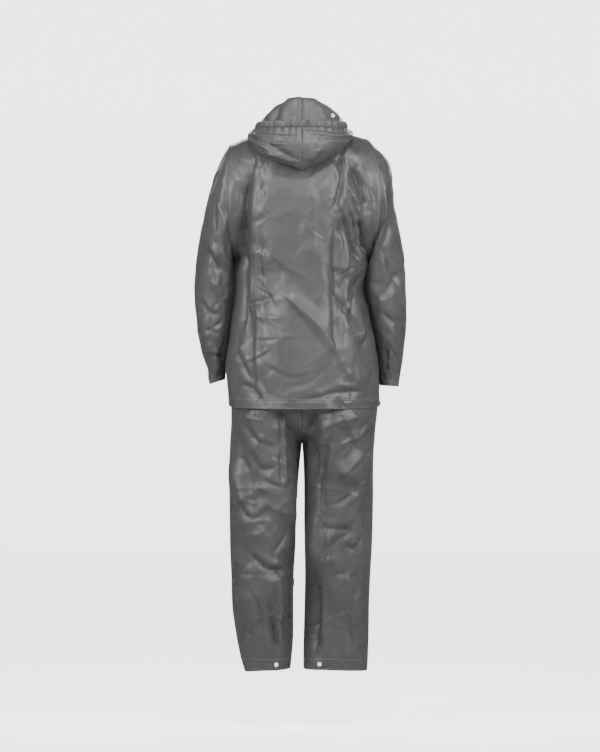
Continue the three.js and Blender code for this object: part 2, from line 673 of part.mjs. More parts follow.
function frontMiddle() {
  const line = BODY_STEPS.map((v) => {
    const point = bodyPoint(0.001, v, FRONT);
    return new THREE.Vector2(point.y, point.z);
  });
  line.pop();
  line.push(new THREE.Vector2(NECK.front, NECK.front_z - TAPE.neck_drop));
  line.push(new THREE.Vector2(NECK.front, hoodRow(HOOD_END).seam_z));
  return line;
}

function zipTape(side) {
  const line = frontMiddle();
  const x_near = side * TAPE.middle_gap / 2;
  const x_far = side * (TAPE.middle_gap / 2 + TAPE.width);
  const sink = (x) => NECK.front * (1 - Math.sqrt(1 - (x / NECK.half_width) ** 2));
  const grid = line.map((place) => [x_near, x_far].map((x) => {
    return new THREE.Vector3(x, place.x - TAPE.behind - sink(x), place.y);
  }));
  return clothPanel({
    grid,
    flip: side === RIGHT,
    wall: TAPE.wall,
    edge: (normal) => {
      normal.x = 0;
    },
  });
}

// A solid from a geometry, with the points that lie on each other merged.
function solidOf(geometry) {
  const position = geometry.getAttribute('position');
  const merged = new Map();
  const vertices = [];
  const index = [];
  for (let i = 0; i < position.count; i += 1) {
    const place = [position.getX(i), position.getY(i), position.getZ(i)];
    const key = place.map((value) => Math.round(value * POINTS_PER_MM)).join();
    if (!merged.has(key)) {
      merged.set(key, vertices.length / 3);
      vertices.push(...place);
    }
    index.push(merged.get(key));
  }
  const order = geometry.index ? Array.from(geometry.index.array, (i) => index[i]) : index;
  const whole = [];
  for (let i = 0; i < order.length; i += 3) {
    const [a, b, c] = order.slice(i, i + 3);
    if (a !== b && b !== c && a !== c) whole.push(a, b, c);
  }
  return new wasm.Manifold(new wasm.Mesh({
    numProp: 3,
    vertProperties: new Float32Array(vertices),
    triVerts: new Uint32Array(whole),
  }));
}

function geometryFrom(solid) {
  const mesh = solid.getMesh();
  const geometry = new THREE.BufferGeometry();
  geometry.setAttribute('position', new THREE.BufferAttribute(new Float32Array(mesh.vertProperties), 3));
  geometry.setIndex(Array.from(mesh.triVerts));
  geometry.computeVertexNormals();
  return geometry;
}

const SLIDER_BACK = NECK.front - TAPE.behind + SEAM + EDGE_GAP;
const SLIDER_FACE = SLIDER_BACK + SLIDER.thickness;
const AXIS = { y: SLIDER_FACE + TUNNEL.height / 2, z: SLIDER.middle_z + SLIDER.axis_rise };

const CROWN_SINK = 0.4;

function zipSlider() {
  const body = new THREE.BoxGeometry(SLIDER.width, SLIDER.thickness, SLIDER.height);
  body.translate(0, SLIDER_BACK + SLIDER.thickness / 2, SLIDER.middle_z);
  const reach = TUNNEL.length / 2 + SLIDER.crown_leg;
  const crown_height = TUNNEL.height + SLIDER.crown_leg;
  const crown = new THREE.BoxGeometry(SLIDER.crown_width, crown_height + CROWN_SINK, 2 * reach);
  crown.translate(0, SLIDER_FACE + (crown_height - CROWN_SINK) / 2, AXIS.z);
  const tunnel = new THREE.BoxGeometry(SLIDER.crown_width + 2, TUNNEL.height, TUNNEL.length);
  tunnel.translate(0, AXIS.y, AXIS.z);
  const whole = solidOf(body).add(solidOf(crown).subtract(solidOf(tunnel)));
  return geometryFrom(whole);
}

function zipPull() {
  const half = PULL.width / 2;
  const low = PULL.bar / 2 - PULL.length;
  const [corner_x, corner_y] = PULL.corner;
  const shape = new THREE.Shape([
    new THREE.Vector2(-half, PULL.bar / 2),
    new THREE.Vector2(-half, low + corner_y),
    new THREE.Vector2(-half + corner_x, low),
    new THREE.Vector2(half - corner_x, low),
    new THREE.Vector2(half, low + corner_y),
    new THREE.Vector2(half, PULL.bar / 2),
  ]);
  const eye = PULL.eye_width / 2;
  shape.holes.push(new THREE.Path([
    new THREE.Vector2(-eye, -PULL.bar / 2),
    new THREE.Vector2(eye, -PULL.bar / 2),
    new THREE.Vector2(eye, -PULL.bar / 2 - PULL.eye_length),
    new THREE.Vector2(-eye, -PULL.bar / 2 - PULL.eye_length),
  ]));
  const geometry = new THREE.ExtrudeGeometry(shape, { depth: PULL.thickness, bevelEnabled: false });
  geometry.translate(0, 0, -PULL.thickness / 2);
  geometry.rotateX(Math.PI / 2);
  return geometryFrom(solidOf(geometry));
}

// Press studs on the leg hems and the eyelet on the hood: turned pieces that stand on the cloth.
const STUD = { radius: 5.5, height: 2.4, left: [-63, -1288], right: [41, -1287] };
const EYELET = { radius: 5, hole: 2.4, height: 1.4, place: [73, 41], rows: [3, 6] };
const STANDS_OFF = 1;
const TURNED_SIDES = 14;
const SEAT_STEPS = 4;

function turned(profile) {
  const points = profile.map(([radius, height]) => new THREE.Vector2(radius, height));
  const geometry = new THREE.LatheGeometry(points, TURNED_SIDES);
  geometry.rotateX(Math.PI / 2);
  return geometryFrom(solidOf(geometry));
}

function studShape() {
  const { radius, height } = STUD;
  return turned([
    [0, 0], [radius, 0], [radius, height * 0.55], [radius * 0.82, height], [radius * 0.5, height],
    [radius * 0.4, height * 0.6], [0, height * 0.6],
  ]);
}

function eyeletShape() {
  const { radius, hole, height } = EYELET;
  return turned([
    [hole, 0], [radius, 0], [radius * 0.92, height * 0.7], [radius * 0.7, height], [hole, height * 0.7],
    [hole, 0],
  ]);
}

// Sets a turned piece on a grid's outer face at its nearest point to [x, z], standing along the face's
// normal. Only the grid's rows from the first to the last one given are searched.
function seatOn(mesh, panel, [x, z], [first_row, last_row] = [0, panel.outer.length - 2]) {
  const normals = gridNormals(panel.outer, false, panel.flip);
  let best = null;
  panel.outer.forEach((row, r) => row.slice(0, -1).forEach((point, c) => {
    if (r < first_row || r > last_row) return;
    for (let i = 0; i <= SEAT_STEPS; i += 1) {
      for (let j = 0; j <= SEAT_STEPS; j += 1) {
        const low = point.clone().lerp(row[c + 1], i / SEAT_STEPS);
        const high = panel.outer[r + 1][c].clone().lerp(panel.outer[r + 1][c + 1], i / SEAT_STEPS);
        const place = low.lerp(high, j / SEAT_STEPS);
        const distance = Math.hypot(place.x - x, place.z - z);
        if (!best || distance < best.distance) best = { distance, place, normal: normals[r][c] };
      }
    }
  }));
  mesh.position.copy(best.place).addScaledVector(best.normal, STANDS_OFF);
  mesh.quaternion.setFromUnitVectors(new THREE.Vector3(0, 0, 1), best.normal);
}

const suit = new THREE.Group();

function addPiece(name, geometry, color, roughness, metalness = 0) {
  const mesh = new THREE.Mesh(geometry, new THREE.MeshStandardMaterial({ color, roughness, metalness }));
  mesh.name = name;
  suit.add(mesh);
  return mesh;
}

const ACROSS = {
  back: 36, front: 10, sleeve: 16, collar: 36, hood: 12, leg_back: 12, leg_front: 8, waistband: 36,
};
const ALONG = { sleeve: 13, collar: 1, hood: 14 };

const jacketBack = bodyPanel(BACK, -1, 1, ACROSS.back, BACK_FOLDS);
const frontLeft = bodyPanel(FRONT, -1, 0, ACROSS.front, FRONT_FOLDS);
const frontRight = bodyPanel(FRONT, 0, 1, ACROSS.front, FRONT_FOLDS);
const sleeveLeft = sleeve(LEFT_SLEEVE, ACROSS.sleeve, ALONG.sleeve);
const sleeveRight = sleeve(RIGHT_SLEEVE, ACROSS.sleeve, ALONG.sleeve);
addPiece('jacket_back', jacketBack.geometry, CLOTH_COLOUR, 0.45);
addPiece('jacket_front_left', frontLeft.geometry, CLOTH_COLOUR, 0.45);
addPiece('jacket_front_right', frontRight.geometry, CLOTH_COLOUR, 0.45);
addPiece('sleeve_left', sleeveLeft.geometry, CLOTH_COLOUR, 0.45);
addPiece('sleeve_right', sleeveRight.geometry, CLOTH_COLOUR, 0.45);
addPiece('collar', collar(ACROSS.collar, ALONG.collar).geometry, CLOTH_COLOUR, 0.5);

const hoodLeft = hoodHalf(LEFT, ACROSS.hood, ALONG.hood);
const hoodRight = hoodHalf(RIGHT, ACROSS.hood, ALONG.hood);
addPiece('hood_left', hoodLeft.geometry, HOOD_COLOUR, 0.5);
addPiece('hood_right', hoodRight.geometry, HOOD_COLOUR, 0.5);
addPiece('hood_channel', hoodChannel().geometry, HOOD_COLOUR, 0.5);
seatOn(addPiece('hood_eyelet', eyeletShape(), METAL_COLOUR, 0.4, 1), hoodRight, EYELET.place, EYELET.rows);

const legBackLeft = legPanel(LEFT_LEG, BACK, ACROSS.leg_back, TROUSER_BACK_FOLDS);
const legBackRight = legPanel(RIGHT_LEG, BACK, ACROSS.leg_back, TROUSER_BACK_FOLDS);
const legFrontLeft = legPanel(LEFT_LEG, FRONT, ACROSS.leg_front, TROUSER_FRONT_FOLDS);
const legFrontRight = legPanel(RIGHT_LEG, FRONT, ACROSS.leg_front, TROUSER_FRONT_FOLDS);
addPiece('trouser_back_left', legBackLeft.geometry, CLOTH_COLOUR, 0.45);
addPiece('trouser_back_right', legBackRight.geometry, CLOTH_COLOUR, 0.45);
addPiece('trouser_front_left', legFrontLeft.geometry, CLOTH_COLOUR, 0.45);
addPiece('trouser_front_right', legFrontRight.geometry, CLOTH_COLOUR, 0.45);
addPiece('waistband', waistband(ACROSS.waistband).geometry, CLOTH_COLOUR, 0.6);
seatOn(addPiece('stud_left', studShape(), METAL_COLOUR, 0.3, 1), legBackLeft, STUD.left);
seatOn(addPiece('stud_right', studShape(), METAL_COLOUR, 0.3, 1), legBackRight, STUD.right);

addPiece('zip_tape_left', zipTape(LEFT).geometry, TAPE_COLOUR, 0.8);
addPiece('zip_tape_right', zipTape(RIGHT).geometry, TAPE_COLOUR, 0.8);
addPiece('zip_slider', zipSlider(), METAL_COLOUR, 0.35, 1);
const pull = addPiece('zip_pull', zipPull(), METAL_COLOUR, 0.35, 1);
pull.position.set(0, AXIS.y, AXIS.z);

export default suit;
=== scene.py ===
# A rain suit as worn, seen from behind: hooded zip jacket over loose trousers in grey coated taffeta.
# Tables are in millimetres in the part's frame, and meshes are made from them in metres.
import itertools
import math

import bpy
import numpy as np
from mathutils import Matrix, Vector


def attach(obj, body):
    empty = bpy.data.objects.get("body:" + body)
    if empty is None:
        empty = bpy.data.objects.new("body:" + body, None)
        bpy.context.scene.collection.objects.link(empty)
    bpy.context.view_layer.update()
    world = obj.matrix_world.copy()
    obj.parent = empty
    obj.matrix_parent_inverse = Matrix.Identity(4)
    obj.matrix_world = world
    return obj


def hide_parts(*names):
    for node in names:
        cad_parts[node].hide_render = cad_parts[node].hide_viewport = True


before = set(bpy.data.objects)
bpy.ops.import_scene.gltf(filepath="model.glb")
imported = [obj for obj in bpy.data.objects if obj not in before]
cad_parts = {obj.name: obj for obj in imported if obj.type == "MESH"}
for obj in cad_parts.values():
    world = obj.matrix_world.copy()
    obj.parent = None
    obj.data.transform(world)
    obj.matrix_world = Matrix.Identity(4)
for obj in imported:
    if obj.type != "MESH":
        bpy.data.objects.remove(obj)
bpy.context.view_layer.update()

MM = 0.001
BODY = "suit"
BACK, FRONT = -1, 1
LEFT, RIGHT = -1, 1
WALL = 1.1
ROUNDNESS = 0.83
ZIP_GAP = 4.5
NECK = {"half_width": 88, "back": 78, "front": 80, "side_z": 8, "back_z": 12, "front_z": -58}
ARC = {"back": 132, "front": 114}
NECK_SHARE = 0.55
HOOD_END = 168
SEAM_ANGLE = 0.02
SEAM_GAP = 0.3
COLLAR_GAP = 0.4
CROTCH_ROW = 8
SIDES = ((LEFT, "left"), (RIGHT, "right"))

# Rows and columns of each piece's grid, in the order its own function takes them.
GRIDS = {
    "back": (200, 225), "front": (74, 170), "sleeve": (172, 108), "collar": (161, 11), "hood": (120, 130),
    "channel": (901, 11), "leg_back": (230, 84), "leg_front": (180, 62), "waistband": (360, 13),
}
# Size and depth of the cloth's facets, and the slant and stretch of the large and the small ones.
CRUMPLES = {"jacket": (58, 8), "sleeve": (48, 8), "hood": (36, 3.2), "leg": (66, 13)}
FACETS = {
    "large": (0.35, 1.5), "small": (-0.5, 1.2), "small_size": 0.42, "small_depth": 0.3, "small_seed": 50,
}
JITTER = 0.34
CREASE = {"sharpness": 1.05, "end": 0.22, "end_depth": 0.25}
LINE_STEPS = 8
SHORT = {
    "length": (28, 85), "slant": (15, 75), "bend": 0.12, "depth": (1.4, 3.4), "width": (3.2, 5), "lip": 0.4,
    "raised": 0.35, "jacket_count": 34, "sleeve_count": 44, "leg_count": 30,
}
# How far from each edge the folds fade out, in the units of the place they are measured along.
FADE = {
    "side_seam": 0.14, "shoulder": 0.4, "armhole": 1.2, "cuff": 0.6, "underarm": 0.3, "hood_seam": 5,
    "hood_neck": 0.1, "hood_end": 12, "hood_edge": 0.07, "gathers": 10, "waist": 24, "leg_seam": 0.22,
    "leg_crease": 0.07,
}
HEM_LIFT = 9
HEM = {"jacket": 29, "trousers": 26, "thickness": 0.7, "step": 1.6, "line": 0.9}
# The middle of the jacket lies calmer than its sides, and flat beside the zip.
CALM = {"half_width": 40, "fade": 60, "small": 0.35, "large": 0.5}
PLACKET = {"flat": 10, "fade": 26}
ZIP_EDGE = 0.0001
ZIP = {
    "top": -60, "bottom": -664, "pitch": 1.15, "height": 1.5, "width": 3.2, "depth": 1.4, "taper": 0.8,
    "offset": 1.1, "behind": 0.6,
}
STITCH = {"pitch": 3.2, "length": 2.5, "radius": 0.28, "end": 0.7, "steps": 400}
RIDGE = {"thin": 0.9, "seat": 1.1, "hood": 1.0, "armhole": 1.5}
RIDGE_SIDES = 6
RIDGE_START = (0.3, 0.5, 0.8)

# Each sheet's node, flat size in metres, how it is held, cut area in square metres and what it rests on.
SHEETS = {
    "back": ("jacket_back", (0.54, 0.7), "draped", 0.335, ["collar"]),
    "front": ("jacket_front", (0.28, 0.68), "draped", 0.151, ["collar"]),
    "sleeve": ("sleeve", (0.46, 0.6), "draped", 0.177, ["jacket_back"]),
    "collar": ("collar", (0.46, 0.05), "stretched", 0.018, ["jacket_back"]),
    "hood": ("hood", (0.28, 0.3), "gathered", 0.054, ["collar"]),
    "channel": ("hood_channel", (0.8, 0.02), "gathered", None, ["hood_left"]),
    "leg_back": ("trouser_back", (0.32, 0.86), "draped", 0.227, ["waistband"]),
    "leg_front": ("trouser_front", (0.32, 0.86), "draped", 0.221, ["waistband"]),
    "waistband": ("waistband", (0.8, 0.037), "stretched", None, []),
}
# Nodes kept from the frame, by material.
HARDWARE = {
    "metal": ("zip_slider", "zip_pull"),
    "pale_metal_painted_reflection": ("stud_left", "stud_right", "hood_eyelet"),
    "zip_tape": ("zip_tape_left", "zip_tape_right"),
}

# Stage, lights and camera, in metres. Each light has its place, target, size and power in watts.
FLOOR_Z = -1.442
STUDIO = {
    "middle": 3.0, "floor": 10.0, "curve": 2.5, "steps": 12, "height": 12.0, "segments": 72, "glow": 1.7,
}
LIGHTS = {
    "top": ((0.3, -1.9, 2.0), (0, 0, -0.1), (0.9, 0.4), 14),
    "left": ((-2.1, -2.4, 0.8), (0, 0, -0.25), (0.3, 0.9), 15),
    "right": ((2.1, -2.4, 0.7), (0, 0, -0.25), (0.3, 0.9), 14),
    "front_left": ((-0.9, 3.2, 1.2), (0, 0, -0.4), (0.6, 1.0), 8),
    "front_right": ((1.3, 3.0, 1.0), (0, 0, -0.4), (0.6, 1.0), 11),
}
LIGHT_SPREAD = 60
WORLD_STRENGTH = 0.05
CAMERA = {"x": -0.005, "z": -0.586, "distance": 9.0, "view_height": 1.835, "sensor": 36}

# Jacket body from the hem up to the underarm.
BODY_COLUMNS = ("z", "left", "right", "back", "front")
BODY_ROWS = (
    (-666, 178, 187, 149, 142),
    (-632, 180, 187, 148, 141),
    (-571, 184, 187, 146, 139),
    (-522, 180, 181, 142, 136),
    (-473, 175, 172, 137, 131),
    (-412, 170.6, 162, 131, 126),
    (-376, 169, 154, 129, 122),
    (-327, 169, 157, 130, 119),
    (-300, 166, 164, 131, 118),
)
# Sleeve rings from the armhole to the cuff.
SLEEVE_COLUMNS = ("outer_x", "outer_z", "inner_x", "inner_z", "depth", "middle_y", "bow")
LEFT_SLEEVE = (
    (-175, -22, -166, -300, 98, 0, -8),
    (-187, -33, -165, -301.5, 100, 0, -8),
    (-208, -80, -165.2, -304, 100, 0, -6),
    (-234, -160, -166, -314, 95, 0, -4),
    (-249, -235, -166.8, -332, 88, 2, -2),
    (-258, -310, -166.6, -365, 82, 5, 0),
    (-262, -395, -168.4, -412, 78, 10, 0),
    (-257, -465, -173, -468, 72, 16, 0),
    (-243, -530, -180, -528, 62, 24, 0),
    (-232, -574, -186, -566, 50, 30, 0),
    (-227, -606, -188, -594, 43, 34, 0),
)
RIGHT_SLEEVE = (
    (150, -8, 164, -297, 98, 0, 34),
    (171, -20, 162.6, -299, 101, 0, 32),
    (200, -50, 161.6, -303, 102, 0, 22),
    (217, -95, 159.8, -309, 101, 0, 12),
    (223, -165, 157.2, -322, 97, 0, 6),
    (238, -240, 153.6, -342, 90, 2, 3),
    (250, -330, 151.4, -376, 83, 6, 0),
    (256, -425, 162.2, -430, 77, 12, 0),
    (253, -500, 174.6, -502, 68, 20, 0),
    (247, -550, 182.6, -550, 57, 28, 0),
    (241, -585, 187, -583, 48, 32, 0),
    (237, -612, 191, -609, 43, 34, 0),
)
SLEEVE_RADIUS = 62
FRONT_SLEEVE_SHIFT = 34
SLEEVE_MIDDLE = {"y": 5, "fade": 30}
UNDERARM_SHARE = 0.4
# Folded hood by angle from the middle of the back.
HOOD_COLUMNS = ("angle", "seam_z", "roll_z", "tip_out", "tip_z", "belly_out", "belly_z", "edge_out", "edge_z")
HOOD_ROWS = (
    (0, 50, 88, 61, -91, 88, -28, 70, 11),
    (18, 49, 86, 61, -72, 86, -24, 70, 11),
    (35, 45, 73, 59, -58, 79, -16, 66, 11),
    (52, 40, 58, 54, -38, 66, -9, 53, 11),
    (70, 34, 47, 43, -13, 50, 2, 35, 14),
    (90, 28, 42, 29, -6, 36, 5, 22, 17),
    (110, 18, 34, 22, -6, 29, 2, 20, 11),
    (130, 3, 18, 17, -15, 23, -9, 21, -5),
    (150, -10, -1, 13, -31, 20, -25, 19, -21),
    (168, -17, -10, 10, -43, 17, -37, 16, -33),
)
ROLL_OUT = 6
RIGHT_RISE = {"tip": 20, "belly": 8, "middle_angle": 52, "half_angle": 40}
RIGHT_CORNER = {"angle": 78, "half_angle": 42, "in": 8}
CORNER = {"lean": 9, "drop": 0.3, "start": 44, "rise": 26, "end": 118, "fall": 20}
EYELET = {"angle": 41, "z": 44, "half_angle": 7, "half_height": 10}
CHANNEL = {
    "height": 17, "wall": 1.6, "gathered_angle": 66, "inset": 0.6, "round": 1.2, "ruffle": 2.5, "top": 1.1,
}
RUFFLE = {"count": 62, "drift": 1.6, "drift_count": 9, "depth": 1.8}
BAG = {"start": 0.62, "fade": 0.1}
HOOD_SCALE = (2.2, 260)
COLLAR_LEAN = 0.05
# Trouser sections from the waist to the hem.
LEG_COLUMNS = ("z", "outer", "inner", "back", "front")
LEFT_LEG = (
    (-467, -139, 138, 113, 108),
    (-500, -150, 150, 124, 117),
    (-560, -167, 168, 134, 125),
    (-610, -171, 170, 134, 125),
    (-650, -172, 120, 130, 121),
    (-690, -172, 60, 124, 116),
    (-718, -173, 24, 118, 112),
    (-734, -174, 6, 114, 109),
    (-745, -175, -0.2, 112, 108),
    (-775, -176, -4, 109, 106),
    (-815, -178, -8, 105, 103),
    (-865, -177, -12, 100, 98),
    (-930, -176, -15, 96, 94),
    (-1000, -175, -17, 93, 91),
    (-1070, -172, -21, 90, 87),
    (-1140, -170, -22, 86, 82),
    (-1210, -161, -22, 80, 76),
    (-1270, -149, -26, 74, 71),
    (-1297, -139, -29, 72, 69),
)
RIGHT_LEG = (
    (-467, 139, -138, 113, 108),
    (-500, 152, -150, 124, 117),
    (-560, 170, -168, 134, 125),
    (-610, 182, -170, 134, 125),
    (-650, 184.6, -120, 130, 121),
    (-690, 181, -60, 124, 116),
    (-718, 178, -24, 118, 112),
    (-734, 177, -6, 114, 109),
    (-745, 176, 0.2, 112, 108),
    (-775, 174, 3, 109, 106),
    (-815, 173, 5, 105, 103),
    (-865, 173, 6, 100, 98),
    (-930, 172, 6, 96, 94),
    (-1000, 170, 7, 92, 90),
    (-1070, 166, 8, 88, 85),
    (-1140, 163, 7, 82, 78),
    (-1210, 162, 5, 76, 70),
    (-1270, 160, 4, 68, 62),
    (-1297, 158, 4, 64, 58),
)
HEM_DROP = 6
COVERED_Z = -658
CALF = {"z": -1060, "fade": 60, "share": 0.75}
LEG_CLEARANCE = {"inside": 0.15, "middle": 0.05}
WAISTBAND = {
    "top": -430, "bottom": -466.6, "half_width": 139, "back": 113, "front": 108, "wall": 2.5,
    "ripple": 0.006, "ripples": 60,
}

# Creases, each with its depth (below zero is a trough), half width, lip and the x, z of its line's places.
# A lip raises the cloth along one side of the line: above zero on its left when followed downwards.
BACK_CREASES = (
    (-6, 7, 3, (112, -330, 96, -380, 104, -432)),
    (-5, 6, 2, (150, -330, 118, -392, 90, -450)),
    (-5, 6, 2, (88, -210, 104, -270, 92, -330)),
    (-27, 14, 6, (-117, -68, -136, -127, -143, -200, -144, -303, -146, -380, -148, -445)),
    (-11, 9, 4, (-150, -200, -152, -303, -150, -400, -146, -500)),
    (-8, 6, 3, (-128, -330, -131, -420, -127, -500)),
    (-7, 8, 3, (-160, -470, -150, -540, -126, -600)),
    (-4, 7, 1, (-107, -83, -101, -150)),
    (9, 16, 0, (-108, -205, -107, -330, -108, -437)),
    (-4, 5, 1.5, (-99, -229, -97, -330, -100, -437)),
    (-6, 7, 2, (-120, -412, -121, -520, -119, -620)),
    (2.5, 5, 0, (-122, -493, -5, -490)),
    (2.5, 5, 0, (-115, -442, -41, -447)),
    (-12, 9, 4, (93, -46, 95, -112, 76, -193)),
    (-15, 8, -5, (77, -225, 76, -380, 78, -534)),
    (-17, 10, 5, (93, -193, 117, -254, 140, -317)),
    (-17, 9, 5, (120, -72, 141, -130, 154, -188)),
    (-22, 10, 6, (138, -205, 150, -250, 158, -300)),
    (-11, 6, 4, (112, -180, 130, -235, 142, -290)),
    (-7, 5, 3, (104, -130, 124, -170, 134, -210)),
    (-12, 9, 4, (80, -393, 120, -437, 132, -378)),
    (-12, 10, 4, (129, -486, 146, -510, 160, -473, 154, -415)),
    (-3, 5, 0, (51, -486, 76, -486)),
    (12, 16, 0, (-54, -376, -5, -425, 49, -478, 93, -551)),
    (-4, 8, 0, (-40, -400, 10, -462, 66, -540)),
    (6, 11, 0, (105, -571, 158, -615)),
    (-7, 9, 2, (-151, -603, -122, -620, -98, -644)),
    (7, 11, 0, (-165, -559, -139, -510)),
    (4, 7, 0, (83, -605, 150, -617)),
    (-5, 8, 1.5, (-5, -644, 44, -637, 80, -627, 150, -622)),
    (-4, 5, 1, (88, -642, 104, -662)),
    (3, 12, 0, (20, -110, 30, -220, 18, -330)),
    (-3, 7, 1, (-90, -560, -30, -590, 30, -580)),
    (-4, 9, 1.5, (60, -560, 20, -600, -40, -616)),
)
FRONT_CREASES = (
    (-11, 13, 3, (-128, -120, -118, -210, -126, -330)),
    (-13, 12, 3, (122, -110, 112, -230, 124, -340)),
    (-8, 11, 2, (-68, -360, -104, -420, -140, -440)),
    (-9, 11, 2, (72, -350, 96, -410, 134, -430)),
    (8, 16, 0, (-80, -460, -70, -600)),
    (7, 18, 0, (60, -450, 86, -610)),
    (-5, 7, 2, (-40, -130, -70, -220, -60, -300)),
    (-5, 7, 2, (36, -120, 60, -200, 52, -310)),
    (-4, 6, 1, (-30, -480, -50, -560, -44, -630)),
    (-5, 7, 2, (30, -430, 70, -470, 120, -480)),
    (-4, 7, 1, (110, -560, 60, -600, 24, -610)),
    (-4, 7, 1, (-120, -540, -90, -590, -30, -600)),
)
SLEEVE_CREASES = (
    (-9, 10, 3, (-240, -272, -214, -306, -190, -336)),
    (6, 11, 0, (-224, -352, -170, -408)),
    (-6, 7, 2, (-244, -534, -186, -540)),
    (-5, 7, 2, (-250, -400, -226, -430, -196, -440)),
    (-5, 8, 2, (-200, -130, -212, -190, -206, -250)),
    (-4, 6, 1, (-236, -470, -200, -486)),
    (-8, 10, 3, (244, -326, 214, -372, 186, -396)),
    (3, 6, 0, (202, -495, 246, -488)),
    (-8, 10, -2, (200, -512, 208, -584)),
    (-6, 9, 2, (204, -120, 216, -190, 206, -262)),
    (-5, 7, 2, (196, -300, 222, -330, 240, -384)),
    (-5, 7, 2, (190, -430, 220, -452, 248, -450)),
)
TROUSER_BACK_CREASES = (
    (-6, 6, 4, (-50, -660, -50, -760, -53, -850)),
    (7, 14, 0, (-150, -900, -110, -860, -60, -872)),
    (-6, 8, 3, (-158, -880, -120, -930, -70, -900)),
    (-6, 8, 3, (96, -700, 130, -760, 168, -770)),
    (6, 12, 0, (70, -900, 112, -870, 160, -900)),
    (-7, 7, -5, (45, -770, 42, -900, 41, -1060)),
    (-4, 7, 4, (-66, -1075, -60, -1160, -64, -1255)),
    (5, 12, 0, (-150, -985, -112, -968, -84, -990)),
    (6, 12, 0, (60, -1000, 104, -900, 150, -868)),
    (-20, 16, 5, (-66, -650, -38, -700, -10, -742)),
    (-20, 15, -5, (44, -650, 26, -690, 9, -730)),
    (-6, 6, 3, (-30, -660, -10, -672, -4, -676)),
    (-7, 9, 2, (-122, -778, -98, -810, -59, -805)),
    (-5, 8, 2, (-156, -778, -132, -815)),
    (-6, 7, 2, (-98, -834, -49, -856, -26, -839)),
    (2.5, 4, 0, (-168, -858, -100, -855, -18, -857)),
    (7, 13, 0, (-107, -881, -66, -908, -30, -925)),
    (5, 9, 0, (-168, -949, -83, -937, -132, -998)),
    (-12, 10, 4, (-127, -1015, -83, -1052, -32, -1059)),
    (-2.5, 4, 0, (-164, -1064, -60, -1067)),
    (-6, 11, 2, (-168, -1040, -158, -1090)),
    (-5, 8, 2, (-140, -700, -110, -742, -60, -760)),
    (-5, 9, 2, (-60, -1110, -66, -1180, -58, -1260)),
    (4, 10, 0, (-120, -1100, -112, -1200)),
    (8, 13, 0, (20, -724, 81, -696, 165, -680)),
    (5, 9, 0, (122, -742, 168, -706)),
    (-12, 9, 4, (63, -742, 49, -827)),
    (-6, 7, 2, (34, -754, 24, -839)),
    (9, 15, 0, (81, -839, 130, -790, 164, -742)),
    (2.5, 4, 0, (14, -856, 100, -859, 168, -857)),
    (-5, 8, 2, (150, -830, 110, -880, 60, -900)),
    (-7, 9, 2, (44, -954, 117, -961, 81, -986)),
    (-7, 9, 2, (105, -986, 129, -1005, 160, -965)),
    (-2.5, 4, 0, (81, -1066, 158, -1071)),
    (-17, 18, 0, (28, -1070, 25, -1160, 27, -1256)),
    (5, 6, 0, (50, -1072, 47, -1160, 49, -1250)),
    (-9, 8, 4, (-78, -1120, -70, -1180, -58, -1256)),
    (-6, 7, 3, (-128, -1100, -104, -1150, -92, -1215)),
    (4, 10, 0, (92, -1090, 96, -1220)),
    (-4, 7, 1, (130, -1100, 120, -1180, 132, -1250)),
)
TROUSER_FRONT_CREASES = (
    (-8, 12, 3, (-130, -930, -90, -960, -40, -940)),
    (-7, 12, 3, (40, -950, 84, -980, 134, -950)),
    (-7, 14, 0, (-90, -1050, -94, -1240)),
    (-8, 13, 0, (100, -1060, 96, -1250)),
    (-8, 11, 3, (-24, -740, -80, -690, -140, -668)),
    (-8, 11, 3, (24, -742, 84, -695, 142, -672)),
    (-5, 8, 2, (-130, -830, -80, -850, -30, -838)),
    (-5, 8, 2, (30, -820, 90, -846, 140, -836)),
    (-5, 8, 2, (-120, -1000, -80, -1020, -36, -1010)),
    (-5, 8, 2, (36, -1020, 90, -1040, 130, -1024)),
)
# The hood's creases lie at an angle round the neck in degrees and a height on the bag's outside face.
HOOD_CREASES = (
    (-7, 4, 3, (-58, -12, -34, -32, -12, -64)),
    (-6, 3.6, 3, (-30, -42, -14, -64, -3, -74)),
    (-5, 3.4, 2.5, (-52, -2, -24, -10, -6, -13)),
    (-5, 3.4, 2, (-28, -26, -8, -31)),
    (-5.5, 4.5, 2.5, (6, -1, 30, -8, 58, -4)),
    (-4, 4, 2, (18, -20, 44, -24)),
    (4, 8, 0, (4, -8, 30, -14, 60, -2)),
    (-5, 4, 2, (-42, -38, -22, -54)),
    (5, 9, 0, (-60, -4, -36, -18)),
    (-3, 3, 1.5, (-18, -16, -10, -48)),
    (-4, 4, 2, (14, -40, 6, -70)),
)
# Creases of the hood's upright part, at an angle round the neck and a height.
HOOD_TOP_CREASES = (
    (-4.5, 4.5, 1.5, (-5.5, 84, -6.5, 60, -7.5, 30)),
    (-3, 5, 1, (-30, 66, -34, 46, -38, 30)),
    (3, 8, 0, (22, 70, 30, 30)),
)


def mix(a, b, t):
    return a + (b - a) * t


def ease(t):
    c = np.clip(t, 0, 1)
    return c * c * (3 - 2 * c)


